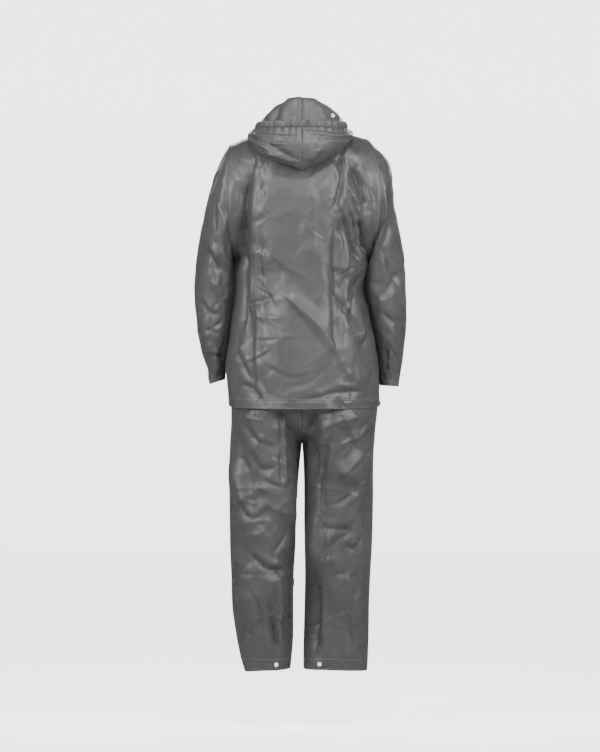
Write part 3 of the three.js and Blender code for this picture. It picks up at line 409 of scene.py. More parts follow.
def row_at(columns, rows, place):
    """Each named column of a table at places between its rows, on curves that never overshoot."""
    table = np.array(rows, float)
    place = np.clip(np.asarray(place, float), 0, len(table) - 1)
    i = np.minimum(place.astype(int), len(table) - 2)
    t = (place - i)[..., None]
    secants = np.diff(table, axis=0)
    before, after = secants[:-1], secants[1:]
    total = np.where(before + after == 0, 1, before + after)
    inner = np.where(before * after > 0, 2 * before * after / total, 0)
    slopes = np.vstack([secants[:1], inner, secants[-1:]])
    values = (
        (2 * t**3 - 3 * t**2 + 1) * table[i]
        + (t**3 - 2 * t**2 + t) * slopes[i]
        + (3 * t**2 - 2 * t**3) * table[i + 1]
        + (t**3 - t**2) * slopes[i + 1]
    )
    return {name: values[..., k] for k, name in enumerate(columns)}


def xyz(x, y, z):
    return np.stack(np.broadcast_arrays(x, y, z), axis=-1).astype(float)


def armhole(side, face, degrees):
    """The armhole, which body and sleeve share: -90 degrees under the arm, 90 on the shoulder."""
    rows = LEFT_SLEEVE if side == LEFT else RIGHT_SLEEVE
    ring = dict(zip(SLEEVE_COLUMNS, rows[0]))
    angle = np.radians(degrees)
    above = np.asarray(degrees) > 0
    end = np.where(above, ring["outer_x"], ring["inner_x"])
    middle = (ring["outer_x"] + ring["inner_x"]) / 2 + ring["bow"]
    middle_z = (ring["outer_z"] + ring["inner_z"]) / 2
    end_z = np.where(above, ring["outer_z"], ring["inner_z"])
    return xyz(
        mix(end, middle, np.cos(angle)),
        face * ring["depth"] * np.cos(angle),
        mix(middle_z, end_z, np.abs(np.sin(angle))),
    )


def either_side(u, left, right):
    return np.where((u < 0)[..., None], left, right)


def neckline(degrees, face, scale=1.0):
    angle = np.radians(degrees)
    depth = NECK["back"] if face == BACK else NECK["front"]
    middle_z = NECK["back_z"] if face == BACK else NECK["front_z"]
    cosine = np.maximum(np.cos(angle), 0)
    return xyz(
        NECK["half_width"] * np.sin(angle) * scale,
        face * depth * cosine * scale,
        mix(NECK["side_z"], middle_z, cosine**1.4),
    )


def top_edge(u, face):
    """Shoulder seams and neckline, from the left sleeve to the right one."""
    share = np.abs(u)
    t = np.clip((share - NECK_SHARE) / (1 - NECK_SHARE), 0, 1)
    shoulder = either_side(u, armhole(LEFT, face, 90.0), armhole(RIGHT, face, 90.0))
    side = np.where(u < 0, -1, 1)
    seam = xyz(
        mix(side * NECK["half_width"], shoulder[..., 0], t),
        0 * u,
        mix(NECK["side_z"], shoulder[..., 2], t**1.3),
    )
    neck = neckline(side * np.minimum(share / NECK_SHARE, 1) * 90, face)
    return np.where((share >= NECK_SHARE)[..., None], seam, neck)


def body_point(u, v, face):
    """Jacket body. u runs from left to right; v is 0 at the hem, 1 under the arms, 3 at the top."""
    u, v = np.broadcast_arrays(np.asarray(u, float), np.asarray(v, float))
    turn = np.abs(u) * np.pi / 2
    wide = np.sin(turn) ** ROUNDNESS
    deep = np.maximum(np.cos(turn), 0) ** ROUNDNESS
    key = "back" if face == BACK else "front"
    row = row_at(BODY_COLUMNS, BODY_ROWS, np.clip(v, 0, 1) * (len(BODY_ROWS) - 1))
    lift = HEM_LIFT * np.abs(u) ** 2.5 * (1 - ease(v * 4))
    low = xyz(np.where(u < 0, -row["left"], row["right"]) * wide, face * row[key] * deep, row["z"] + lift)

    under = np.clip(v, 1, 2)
    degrees = (under - 2) * 90
    edge = either_side(u, armhole(LEFT, face, degrees), armhole(RIGHT, face, degrees))
    flat = np.cos((under - 2) * np.pi / 2)
    last = dict(zip(BODY_COLUMNS, BODY_ROWS[-1]))
    depth = mix(last[key], ARC[key], under - 1)
    across = mix(wide, np.abs(u), flat)
    out = mix(deep, 1 - np.abs(u) ** 2.4, flat)
    high_z = armhole(RIGHT, face, 0.0)[2]
    middle_z = mix(last["z"], high_z, flat**1.5 * 0.5 + (under - 1) * 0.5)
    arc = xyz(
        edge[..., 0] * across,
        face * mix(np.abs(edge[..., 1]), depth, out),
        mix(middle_z, edge[..., 2], u * u),
    )

    over = np.clip(v, 2, 3) - 2
    angle = over * np.pi / 2
    top = top_edge(u, face)
    straight = (0.5 if face == BACK else 1.0) * (1 - ease(np.abs(u) / NECK_SHARE))
    level = mix(np.cos(angle), 1 - over, straight)
    raised = mix(np.sin(angle), over, straight)
    high = xyz(
        mix(top[..., 0], arc[..., 0], level),
        mix(top[..., 1], arc[..., 1], level),
        mix(arc[..., 2], top[..., 2], raised),
    )
    return np.where((v <= 1)[..., None], low, np.where((v <= 2)[..., None], arc, high))


def front_point(u, v):
    """A front half, with its middle edge moved off the zip."""
    point = body_point(u, v, FRONT)
    side = -1 if np.mean(u) < 0 else 1
    edge = np.abs(body_point(side + 0 * u, v, FRONT)[..., 0])
    point[..., 0] = side * mix(ZIP_GAP, edge, np.abs(point[..., 0]) / edge)
    return point


def sleeve_point(rows, place, degrees):
    ring = row_at(SLEEVE_COLUMNS, rows, place)
    angle = np.radians(degrees)
    share = (1 + np.cos(angle)) / 2
    oval = xyz(
        mix(ring["inner_x"], ring["outer_x"], share) + ring["bow"] * np.abs(np.sin(angle)),
        ring["middle_y"] - ring["depth"] * np.sin(angle),
        mix(ring["inner_z"], ring["outer_z"], share),
    )
    side = LEFT if rows[0][0] < 0 else RIGHT
    from_under = 90 - np.abs(degrees)
    behind = armhole(side, BACK, from_under)
    before = armhole(side, FRONT, from_under)
    sewn = np.where((np.sin(angle) > 0)[..., None], behind, before)
    sewn[..., 0] += side * SEAM_GAP
    blend = np.clip(1 - np.asarray(place) / 2, 0, 1)[..., None]
    return mix(oval, sewn, blend)


def neck_oval(degrees, out, z):
    angle = np.radians(degrees)
    depth = mix(NECK["back"], NECK["front"], (1 - np.cos(angle)) / 2)
    return xyz((NECK["half_width"] + out) * np.sin(angle), -(depth + out) * np.cos(angle), z)


def hood_row(degrees):
    place = np.interp(np.abs(degrees), [row[0] for row in HOOD_ROWS], np.arange(len(HOOD_ROWS)))
    row = row_at(HOOD_COLUMNS, HOOD_ROWS, place)
    rise = ease(1 - np.abs(degrees - RIGHT_RISE["middle_angle"]) / RIGHT_RISE["half_angle"])
    row["tip_z"] = row["tip_z"] + RIGHT_RISE["tip"] * rise
    row["belly_z"] = row["belly_z"] + RIGHT_RISE["belly"] * rise
    from_corner = np.abs(degrees - RIGHT_CORNER["angle"]) / RIGHT_CORNER["half_angle"]
    slim = RIGHT_CORNER["in"] * ease(1 - from_corner)
    for name in ("tip_out", "belly_out", "edge_out"):
        row[name] = row[name] - slim
    return row


def spline(points, shares):
    """A curve through points, each an array, at shares of the way along it."""
    last = len(points) - 1
    p = np.stack(points)
    place = shares * last
    i = np.minimum(place.astype(int), last - 1)
    w = (place - i)[:, None, None]
    p0, p1, p2, p3 = p[np.maximum(i - 1, 0)], p[i], p[i + 1], p[np.minimum(i + 2, last)]
    v0, v1 = (p2 - p0) / 2, (p3 - p1) / 2
    return (2 * p1 - 2 * p2 + v0 + v1) * w**3 + (-3 * p1 + 3 * p2 - 2 * v0 - v1) * w**2 + v0 * w + p1


def hood_point(degrees, shares):
    """Grid of hood points: rows along the cross-section, columns round the neck."""
    row = hood_row(degrees)

    def pair(out, z):
        return np.stack(np.broadcast_arrays(out, z), axis=-1).astype(float)

    def between(out_share, z_share):
        return pair(mix(ROLL_OUT, row["tip_out"], out_share), mix(row["roll_z"], row["tip_z"], z_share))

    flat = 0 * row["roll_z"]
    profile = spline(
        [
            pair(flat, row["seam_z"] + SEAM_GAP),
            pair(flat + SEAM_GAP, mix(row["seam_z"], row["roll_z"], 0.6)),
            pair(flat + ROLL_OUT, row["roll_z"]),
            between(0.26, 0.12),
            between(0.46, 0.45),
            between(0.7, 0.82),
            pair(row["tip_out"], row["tip_z"]),
            pair(mix(row["tip_out"], row["belly_out"], 0.8), mix(row["tip_z"], row["belly_z"], 0.4)),
            pair(row["belly_out"], row["belly_z"]),
            pair(row["edge_out"], row["edge_z"]),
        ],
        shares,
    )
    return neck_oval(degrees[None, :], profile[..., 0], profile[..., 1])


def leg_point(rows, place, share, face):
    row = row_at(LEG_COLUMNS, rows, place)
    centre = (row["outer"] + row["inner"]) / 2
    half = (row["outer"] - row["inner"]) / 2
    middle = np.clip(-centre / half, -1, 1)
    start = 2 / np.pi * np.sign(middle) * np.arcsin(np.abs(middle) ** (1 / ROUNDNESS))
    turn = mix(start, 1, share) * np.pi / 2
    wide = np.sign(turn) * np.abs(np.sin(turn)) ** ROUNDNESS
    deep = np.maximum(np.cos(turn), 0) ** ROUNDNESS
    hem = ease((place - len(rows) + 2.5) / 1.5)
    depth = row["back"] if face == BACK else row["front"]
    return xyz(centre + half * wide, face * depth * deep, row["z"] - HEM_DROP * hem * share)


# Folds and creases


def through(line):
    """A smooth polyline through a crease's places."""
    p = np.reshape(line, (-1, 2)).astype(float)
    if len(p) < 3:
        return p
    padded = np.vstack([2 * p[0] - p[1], p, 2 * p[-1] - p[-2]])
    t = np.linspace(0, 1, LINE_STEPS, endpoint=False)[:, None]
    parts = []
    for i in range(len(p) - 1):
        p0, p1, p2, p3 = padded[i : i + 4]
        bend = 2 * p0 - 5 * p1 + 4 * p2 - p3
        twist = 3 * p1 - p0 - 3 * p2 + p3
        parts.append(0.5 * (2 * p1 + (p2 - p0) * t + bend * t**2 + twist * t**3))
    return np.vstack(parts + [p[-1:]])


def creased(creases, x, z):
    """Height of all the creases at places, soft at their ends and raised along the side with the lip."""
    height = np.zeros_like(x)
    places = np.stack([x, z], axis=-1)
    for depth, width, lip, line in creases:
        path = through(line)
        reach = 3 * width + 4
        near = ((places > path.min(axis=0) - reach) & (places < path.max(axis=0) + reach)).all(axis=-1)
        if not near.any():
            continue
        px, pz = x[near], z[near]
        best = np.full(px.shape, np.inf)
        side, along = np.zeros(px.shape), np.zeros(px.shape)
        lengths = np.hypot(*np.diff(path, axis=0).T)
        starts = np.concatenate([[0], np.cumsum(lengths)])
        for i, length in enumerate(lengths):
            ax, az = path[i]
            dx, dz = path[i + 1] - path[i]
            t = np.clip(((px - ax) * dx + (pz - az) * dz) / max(dx * dx + dz * dz, 1e-9), 0, 1)
            distance = np.hypot(px - ax - t * dx, pz - az - t * dz)
            closer = distance < best
            best = np.where(closer, distance, best)
            side = np.where(closer, np.sign((px - ax) * dz - (pz - az) * dx), side)
            along = np.where(closer, starts[i] + t * length, along)
        share = along / starts[-1]
        ends = ease(share / CREASE["end"]) * ease((1 - share) / CREASE["end"])
        shape = depth * np.exp(-((best / width) ** CREASE["sharpness"]))
        raised = lip * np.exp(-(((best * side + 1.5 * width) / (0.9 * width)) ** 2))
        height[near] += (shape + raised) * mix(CREASE["end_depth"], 1, ends)
    return height


def short_creases(seed, count, across, heights):
    """Small sharp creases scattered over the places of a cloth, slanting as pulled cloth does."""
    rng = np.random.RandomState(seed)
    found = []
    for _ in range(count):
        x, z = (rng.uniform(values.min(), values.max()) for values in (across, heights))
        length = rng.uniform(*SHORT["length"])
        slant = np.radians(rng.uniform(*SHORT["slant"])) * (1 if rng.rand() < 0.5 else -1)
        bend = rng.uniform(-SHORT["bend"], SHORT["bend"]) * length
        dx, dz = np.sin(slant) * length / 2, -np.cos(slant) * length / 2
        line = ((x - dx, z - dz), (x + bend, z), (x + dx, z + dz))
        depth = rng.uniform(*SHORT["depth"]) * (1 if rng.rand() < SHORT["raised"] else -1)
        found.append((depth, rng.uniform(*SHORT["width"]), -SHORT["lip"] * depth, line))
    return tuple(found)


def facets(x, z, size, seed, slant, stretch):
    """Stiff cloth's flat facets: random heights on a jittered lattice, joined by flat triangles."""
    rng = np.random.RandomState(seed)
    u = (x + slant * z) / size
    v = (z / stretch - 0.4 * slant * x) / size
    low_u, low_v = int(np.floor(u.min())) - 1, int(np.floor(v.min())) - 1
    count_u = int(np.ceil(u.max())) - low_u + 3
    count_v = int(np.ceil(v.max())) - low_v + 3
    j, i = np.meshgrid(np.arange(count_v), np.arange(count_u))
    pu = low_u + i + rng.uniform(-JITTER, JITTER, i.shape)
    pv = low_v + j + rng.uniform(-JITTER, JITTER, i.shape)
    level = rng.uniform(-1, 1, i.shape)
    height = np.zeros_like(x)
    for a, b in itertools.product(range(count_u - 1), range(count_v - 1)):
        corners = [(a, b), (a + 1, b), (a + 1, b + 1), (a, b + 1)]
        halves = ((0, 1, 2), (0, 2, 3)) if rng.rand() < 0.5 else ((0, 1, 3), (1, 2, 3))
        for half in halves:
            places = [corners[k] for k in half]
            (au, av, al), (bu, bv, bl), (cu, cv, cl) = [(pu[k], pv[k], level[k]) for k in places]
            near = (u >= min(au, bu, cu)) & (u <= max(au, bu, cu))
            near &= (v >= min(av, bv, cv)) & (v <= max(av, bv, cv))
            if not near.any():
                continue
            area = (bu - au) * (cv - av) - (cu - au) * (bv - av)
            du, dv = u[near] - au, v[near] - av
            s = (du * (cv - av) - (cu - au) * dv) / area
            r = ((bu - au) * dv - du * (bv - av)) / area
            inside = (s >= -1e-9) & (r >= -1e-9) & (s + r <= 1 + 1e-9)
            height[near] = np.where(inside, al + s * (bl - al) + r * (cl - al), height[near])
    return height


def crumpled(x, z, seed, size, depth, closed=False):
    """Large facets with their corners a little rounded, and small sharp ones over them."""
    large = depth * facets(x, z, size, seed, *FACETS["large"])
    small = facets(x, z, size * FACETS["small_size"], seed + FACETS["small_seed"], *FACETS["small"])
    padded = np.pad(large, ((1, 1), (0, 0)), mode="edge")
    large = (padded[:-2] + 2 * large + padded[2:]) / 4
    padded = np.pad(large, ((0, 0), (1, 1)), mode="wrap" if closed else "edge")
    return (padded[:, :-2] + 2 * large + padded[:, 2:]) / 4 + FACETS["small_depth"] * depth * small


# Materials


def fit(material, node, values, sources):
    """Sets some of a node's sockets to values and links others to (node, output) sources."""
    for socket, value in values.items():
        node.inputs[socket].default_value = value
    for socket, (source, output) in sources.items():
        material.node_tree.links.new(source.outputs[output], node.inputs[socket])
    return node


def add(material, kind, values, sources):
    return fit(material, material.node_tree.nodes.new("ShaderNode" + kind), values, sources)


def new_material(name):
    """A material, its shader and the link that places a texture on the object."""
    material = bpy.data.materials.new(name)
    material.use_nodes = True
    place = material.node_tree.nodes.new("ShaderNodeTexCoord")
    return material, material.node_tree.nodes["Principled BSDF"], {"Vector": (place, "Object")}


def two_shades(material, texture, colour, dark, pale, start=0, end=1):
    """A ramp from a darker to a paler shade of a colour, as a source of colour."""
    ramp = add(material, "ValToRGB", {}, {"Fac": (texture, "Fac")})
    for element, place, share in zip(ramp.color_ramp.elements, (start, end), (dark, pale)):
        element.position = place
        element.color = tuple(c * share for c in colour) + (1,)
    return ramp, "Color"


def gloss_range(material, texture, low, high):
    return add(material, "MapRange", {"To Min": low, "To Max": high}, {"Value": (texture, "Fac")}), "Result"


def coated_taffeta(name, colour, roughness, crinkle):
    """Thin plain-woven cloth with a soft shine, faint shade changes, crinkles and a fine weave."""
    material, shader, on_object = new_material(name)
    shade = add(material, "TexNoise", {"Scale": 9, "Detail": 5}, on_object)
    noise = {"Scale": 38, "Detail": 4, "Roughness": 0.45, "Distortion": 0.6}
    creases = add(material, "TexNoise", noise, on_object)
    crinkles = add(material, "Bump", {"Strength": crinkle, "Distance": 0.004}, {"Height": (creases, "Fac")})
    weaves = {}
    for socket, direction in enumerate("XZ"):
        weave = add(material, "TexWave", {"Scale": 420, "Distortion": 0.4}, on_object)
        weave.bands_direction = direction
        weaves[socket] = (weave, "Fac")
    threads = add(material, "Math", {}, weaves)
    threads.operation = "MULTIPLY"
    sources = {"Height": (threads, "Value"), "Normal": (crinkles, "Normal")}
    woven = add(material, "Bump", {"Strength": 0.12, "Distance": 0.0002}, sources)
    sources = {
        "Base Color": two_shades(material, shade, colour, 0.86, 1.1, 0.3, 0.72),
        "Roughness": gloss_range(material, shade, roughness - 0.06, roughness + 0.1),
        "Normal": (woven, "Normal"),
    }
    shine = {"Specular IOR Level": 0.3, "Sheen Weight": 0.02, "Sheen Roughness": 0.4}
    fit(material, shader, shine, sources)
    return material


def woven_tape(name, colour, scale):
    material, shader, on_object = new_material(name)
    weave = add(material, "TexWave", {"Scale": scale}, on_object)
    weave.bands_direction = "DIAGONAL"
    bump = add(material, "Bump", {"Strength": 0.4, "Distance": 0.0003}, {"Height": (weave, "Fac")})
    sources = {"Base Color": two_shades(material, weave, colour, 0.7, 1.25), "Normal": (bump, "Normal")}
    fit(material, shader, {"Roughness": 0.8}, sources)
    return material


def plated_metal(name, metallic, dark, pale):
    material, shader, on_object = new_material(name)
    wear = add(material, "TexNoise", {"Scale": 600, "Detail": 3}, on_object)
    sources = {
        "Base Color": two_shades(material, wear, (1, 1, 1), dark, pale),
        "Roughness": gloss_range(material, wear, 0.22, 0.42),
    }
    fit(material, shader, {"Metallic": metallic}, sources)
    return material


materials = {
    "cloth": coated_taffeta("cloth", (0.025, 0.0256, 0.0262), 0.42, 0.1),
    # The hood's copy of the taffeta has its own base colour, darkened so the top light does not make the hood
    # too bright: painted shade.
    "hood_cloth": coated_taffeta("hood_cloth", (0.026, 0.0266, 0.0272), 0.48, 0.08),
    "elastic": woven_tape("elastic", (0.09, 0.092, 0.098), 180),
    "zip_tape": woven_tape("zip_tape", (0.035, 0.035, 0.036), 260),
    "metal": plated_metal("metal", 1, 0.55, 0.8),
    # Studs and eyelet: plated metal made less metallic with a paler base to stand in for the bright
    # surroundings it would reflect: partly real metal, partly painted reflection.
    "pale_metal_painted_reflection": plated_metal("pale_metal_painted_reflection", 0.3, 0.5, 0.62),
    "thread": woven_tape("thread", (0.11, 0.112, 0.115), 700),
}

# Meshes

# The outside grid and its normals of each finished piece, for the stitches to lie on.
surfaces = {}


def grid_of(down, across):
    """Each row's value and each column's value, over the whole grid."""
    return np.broadcast_arrays(down[:, None], across[None, :])


def grid_normals(grid, closed, flip):
    if closed:
        across = np.roll(grid, -1, axis=1) - np.roll(grid, 1, axis=1)
    else:
        across = np.gradient(grid, axis=1)
    normal = np.cross(across, np.gradient(grid, axis=0))
    normal /= np.maximum(np.linalg.norm(normal, axis=-1, keepdims=True), 1e-12)
    return -normal if flip else normal


def lifted(base, height, flip, closed=False):
    """A grid moved outwards by the height of its folds."""
    return base + grid_normals(base, closed, flip) * height[..., None]


def mesh_object(name, points, faces, smooth=True):
    mesh = bpy.data.meshes.new(name)
    mesh.from_pydata((np.asarray(points) * MM).tolist(), [], np.asarray(faces).tolist())
    mesh.polygons.foreach_set("use_smooth", [smooth] * len(mesh.polygons))
    mesh.update()
    obj = bpy.data.objects.new(name, mesh)
    bpy.context.collection.objects.link(obj)
    return obj


def quads(*corners):
    return np.stack([corner.ravel() for corner in corners], axis=1)


def grid_quads(index):
    return quads(index[:-1, :-1], index[:-1, 1:], index[1:, 1:], index[1:, :-1])


def wall_faces(rows, columns, closed, flip):
    index = np.arange(rows * columns).reshape(rows, columns)
    if closed:
        index = np.hstack([index, index[:, :1]])
    inner = index + rows * columns
    parts = [
        grid_quads(index),
        grid_quads(inner)[:, [0, 3, 2, 1]],
        quads(inner[0, :-1], inner[0, 1:], index[0, 1:], index[0, :-1]),
        quads(index[-1, :-1], index[-1, 1:], inner[-1, 1:], inner[-1, :-1]),
    ]
    if not closed:
        parts.append(quads(inner[:-1, 0], index[:-1, 0], index[1:, 0], inner[1:, 0]))
        parts.append(quads(index[:-1, -1], inner[:-1, -1], inner[1:, -1], index[1:, -1]))
    faces = np.vstack(parts)
    return faces[:, ::-1] if flip else faces


def dress(obj, material):
    obj.data.materials.append(materials[material])
    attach(obj, BODY)


def kind_of(name):
    return name.removesuffix("_left").removesuffix("_right")


def cloth_piece(name, outer, slot="cloth", closed=False, flip=False, wall=WALL):
    """A panel of cloth with its outside on a grid and a wall behind it, hiding the frame's part it replaces.
    """
    normals = grid_normals(outer, closed, flip)
    surfaces[name] = (outer, normals)
    rows, columns = outer.shape[:2]
    points = np.vstack([outer.reshape(-1, 3), (outer - normals * wall).reshape(-1, 3)])
    obj = mesh_object(f"{name}_cloth", points, wall_faces(rows, columns, closed, flip))
    dress(obj, slot)
    kind = kind_of(name)
    node, flat, held, area, rests_on = SHEETS[kind]
    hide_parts(node + name[len(kind) :])


# Jacket


def hem_band(distance, height):
    """The turned hem: a little thicker than the cloth, with a sewn line along its top."""
    band = HEM["thickness"] * ease((height - distance) / HEM["step"])
    return band - HEM["line"] * np.exp(-(((distance - height + 2) / HEM["step"]) ** 2))


def jacket_panel(name, face, ends, creases, seed):
    columns, rows = GRIDS[kind_of(name)]
    low = np.linspace(0, 1, rows * 55 // 100, endpoint=False)
    levels = np.concatenate([low, np.linspace(1, 3, rows * 45 // 100)])
    v, u = grid_of(levels, np.linspace(*ends, columns + 1))
    base = front_point(u, v) if face == FRONT else body_point(u, v, BACK)
    x, z = base[..., 0], base[..., 2]
    fade = ease((1 - np.abs(u)) / FADE["side_seam"]) * ease((3 - v) / FADE["shoulder"])
    if face == FRONT:
        fade *= ease((np.abs(x) - PLACKET["flat"]) / PLACKET["fade"])
    small = short_creases(seed, SHORT["jacket_count"], x, z)
    calm = ease((np.abs(x) - CALM["half_width"]) / CALM["fade"])
    height = creased(creases, x, z) * fade
    height += creased(small, x, z) * fade * mix(CALM["small"], 1, calm)
    height += crumpled(x, z, seed, *CRUMPLES["jacket"]) * fade * mix(CALM["large"], 1, calm)
    from_hem = v * (BODY_ROWS[-1][0] - BODY_ROWS[0][0])
    height += hem_band(from_hem, HEM["jacket"]) * (v < 0.2)
    cloth_piece(name, lifted(base, height, face == FRONT), flip=face == FRONT)


def sleeve_piece(name, rows, seed):
    side = LEFT if rows[0][0] < 0 else RIGHT
    steps, around = GRIDS["sleeve"]
    turns = -180 + np.arange(around) / around * 360
    place, degrees = grid_of(np.linspace(0, len(rows) - 1, steps + 1), turns)
    base = sleeve_point(rows, place, degrees)
    x, z = base[..., 0], base[..., 2]
    fade = ease(place / FADE["armhole"]) * ease((len(rows) - 1 - place) / FADE["cuff"])
    fade *= ease((1 + np.cos(np.radians(degrees))) / FADE["underarm"])
    behind, before = (
        ease(face * (base[..., 1] - SLEEVE_MIDDLE["y"]) / SLEEVE_MIDDLE["fade"]) for face in (BACK, FRONT)
    )
    height = creased(SLEEVE_CREASES, x, z) * fade * behind
    height += creased(SLEEVE_CREASES, x, z + FRONT_SLEEVE_SHIFT) * fade * before
    arc = np.radians(degrees) * SLEEVE_RADIUS
    facing = np.abs(np.sin(np.radians(degrees)))
    small = short_creases(seed, SHORT["sleeve_count"], arc, z)
    height += creased(small, arc, z) * fade * facing
    height += crumpled(arc, z, seed, *CRUMPLES["sleeve"], True) * fade * mix(UNDERARM_SHARE, 1, facing)
    cloth_piece(name, lifted(base, height, side == LEFT, True), closed=True, flip=side == LEFT)


def collar_piece():
    end = math.degrees(math.acos(ZIP_GAP / NECK["half_width"])) + 90
    columns, rows = GRIDS["collar"]
    share, degrees = grid_of(np.linspace(0, 1, rows), np.linspace(-end, end, columns))
    lean = 1 - COLLAR_LEAN * share * (1 + np.cos(np.radians(degrees))) / 2
    behind = neckline(degrees, BACK, lean)
    before = neckline(np.sign(degrees) * (180 - np.abs(degrees)), FRONT, lean)
    low = np.where((np.abs(degrees) <= 90)[..., None], behind, before)
    top = hood_row(np.minimum(np.abs(degrees), HOOD_END))["seam_z"]
    cloth_piece("collar", xyz(low[..., 0], low[..., 1], mix(low[..., 2] + COLLAR_GAP, top, share)))


def gathers(degrees):
    """How much the hood's edge is gathered round the neck: fully behind, not at all in front."""
    return ease((CHANNEL["gathered_angle"] - np.abs(degrees)) / FADE["gathers"])


def ruffles(angle):
    return np.sin(angle * RUFFLE["count"] + RUFFLE["drift"] * np.sin(angle * RUFFLE["drift_count"]))


def hood_half(name, side, seed):
    around, steps = GRIDS["hood"]
    turns = side * np.linspace(SEAM_ANGLE, HOOD_END, around + 1)
    levels = np.linspace(0, 1, steps + 1)
    base = hood_point(turns, levels)
    shares, degrees = grid_of(levels, turns)
    angle, z = np.radians(degrees), base[..., 2]
    near_edge = np.exp(-(1 - shares) / FADE["hood_edge"])
    fade = ease(np.abs(degrees) / FADE["hood_seam"]) * ease(shares / FADE["hood_neck"])
    fade *= ease((HOOD_END - np.abs(degrees)) / FADE["hood_end"])
    height = -RUFFLE["depth"] * ruffles(angle) * near_edge * gathers(degrees)
    bag = ease((shares - BAG["start"]) / BAG["fade"])
    height += creased(HOOD_CREASES, degrees, z) * fade * bag
    height += creased(HOOD_TOP_CREASES, degrees, z) * fade * (1 - bag)
    folds = crumpled(degrees * HOOD_SCALE[0], shares * HOOD_SCALE[1], seed, *CRUMPLES["hood"])
    height += folds * fade * (1 - 0.5 * near_edge)
    beside = (degrees - EYELET["angle"]) / EYELET["half_angle"]
    above = (z - EYELET["z"]) / EYELET["half_height"]
    height *= 1 - np.exp(-(beside**2) - above**2)
    outer = lifted(base, height, side == RIGHT)
    outward = side * np.maximum(side * outer[..., 0], 0.1)
    outer[..., 0] = np.where(base[..., 1] < 0, outward, outer[..., 0])
    cloth_piece(name, outer, "hood_cloth", flip=side == RIGHT)


def hood_channel():
    columns, rows = GRIDS["channel"]
    share, degrees = grid_of(np.linspace(0, 1, rows), np.linspace(-HOOD_END, HOOD_END, columns))
    row = hood_row(degrees)
    gathered = gathers(degrees)
    angle = np.radians(degrees)
    wave = ruffles(angle) + 0.5 * np.sin(angle * 121 + 2)
    middle = np.sin(share * np.pi)
    uneven = 0.55 + 0.45 * np.sin(angle * 7 + 0.6) * np.sin(angle * 17)
    bulge = CHANNEL["round"] * middle + CHANNEL["ruffle"] * wave * uneven * gathered * mix(0.45, 1, middle)
    out = row["edge_out"] + bulge - share * CHANNEL["inset"] * gathered
    turn = np.abs(degrees)
    corner = ease((turn - CORNER["start"]) / CORNER["rise"]) * ease((CORNER["end"] - turn) / CORNER["fall"])
    out -= share * CORNER["lean"] * corner
    height = share * CHANNEL["height"] * (1 - CORNER["drop"] * corner)
    height += CHANNEL["top"] * uneven * gathered * share * np.sin(angle * RUFFLE["count"] + 1)
    grid = neck_oval(degrees, out, row["edge_z"] + COLLAR_GAP + height)
    cloth_piece("channel", grid, "hood_cloth", wall=CHANNEL["wall"])


# Trousers


def leg_piece(name, rows, face, creases, seed):
    side = LEFT if rows[0][1] < 0 else RIGHT
    steps, across = GRIDS[kind_of(name)]
    heights = [row[0] for row in rows]
    z_levels = np.linspace(heights[0], heights[-1], steps + 1)
    places = np.interp(-z_levels, [-h for h in heights], np.arange(len(heights)))
    place, share = grid_of(places, np.linspace(0, 1, across + 1))
    base = leg_point(rows, place, share, face)
    x, z = base[..., 0], base[..., 2]
    from_seam = np.minimum(share, 1 - share)
    ends = ease((COVERED_Z - z) / FADE["waist"])
    small = short_creases(seed, SHORT["leg_count"], x, np.minimum(z, COVERED_Z))
    height = creased(creases + small, x, z) * ease(from_seam / FADE["leg_crease"]) * ends
    stiff = mix(1, CALF["share"], ease((CALF["z"] - z) / CALF["fade"]))
    soft = ease(from_seam / FADE["leg_seam"])
    height += crumpled(x, z, seed, *CRUMPLES["leg"]) * soft * ends * stiff
    from_hem = z - z[-1:, :]
    height += hem_band(from_hem, HEM["trousers"]) * (from_hem < 60)
    outer = lifted(base, height, face * side < 0)
    outer[..., 0] = side * np.maximum(side * outer[..., 0], LEG_CLEARANCE["inside"])
    outer[..., 1] = face * np.maximum(face * outer[..., 1], LEG_CLEARANCE["middle"])
    cloth_piece(name, outer, flip=face * side < 0)


def waistband():
    count, rows = GRIDS["waistband"]
    share, angle = grid_of(np.linspace(0, 1, rows), np.arange(count) / count * 2 * np.pi)
    deep = np.abs(np.cos(angle)) ** ROUNDNESS
    wide = np.abs(np.sin(angle)) ** ROUNDNESS
    depth = np.where(np.cos(angle) > 0, WAISTBAND["back"], WAISTBAND["front"])
    ripple = 1 - WAISTBAND["ripple"] * (1 + np.sin(angle * WAISTBAND["ripples"])) * np.sin(share * np.pi)
    grid = xyz(
        np.sign(np.sin(angle)) * wide * WAISTBAND["half_width"] * ripple,
        -np.sign(np.cos(angle)) * deep * depth * ripple,
        mix(WAISTBAND["top"], WAISTBAND["bottom"], share),
    )
    cloth_piece("waistband", grid, "elastic", closed=True, flip=True, wall=WAISTBAND["wall"])


# Sewing


def unit(vectors):
    return vectors / np.maximum(np.linalg.norm(vectors, axis=-1, keepdims=True), 1e-9)


def seam_ridge(name, line, radius=RIDGE["thin"], slot="cloth"):
    """The small rounded ridge of a sewn seam along a line of places."""
    line = np.asarray(line)
    tangent = unit(np.gradient(line, axis=0))
    side = np.cross(tangent[0], RIDGE_START)
    angles = (np.arange(RIDGE_SIDES) / RIDGE_SIDES * 2 * np.pi)[:, None]
    rings = []
    for place, direction in zip(line, tangent):
        side = side - np.dot(side, direction) * direction
        side = side / np.linalg.norm(side)
        rings.append(place + radius * (np.cos(angles) * side + np.sin(angles) * np.cross(direction, side)))
    index = np.arange(len(rings) * RIDGE_SIDES).reshape(-1, RIDGE_SIDES)
    obj = mesh_object(name, np.vstack(rings), grid_quads(np.hstack([index, index[:, :1]])))
    dress(obj, slot)


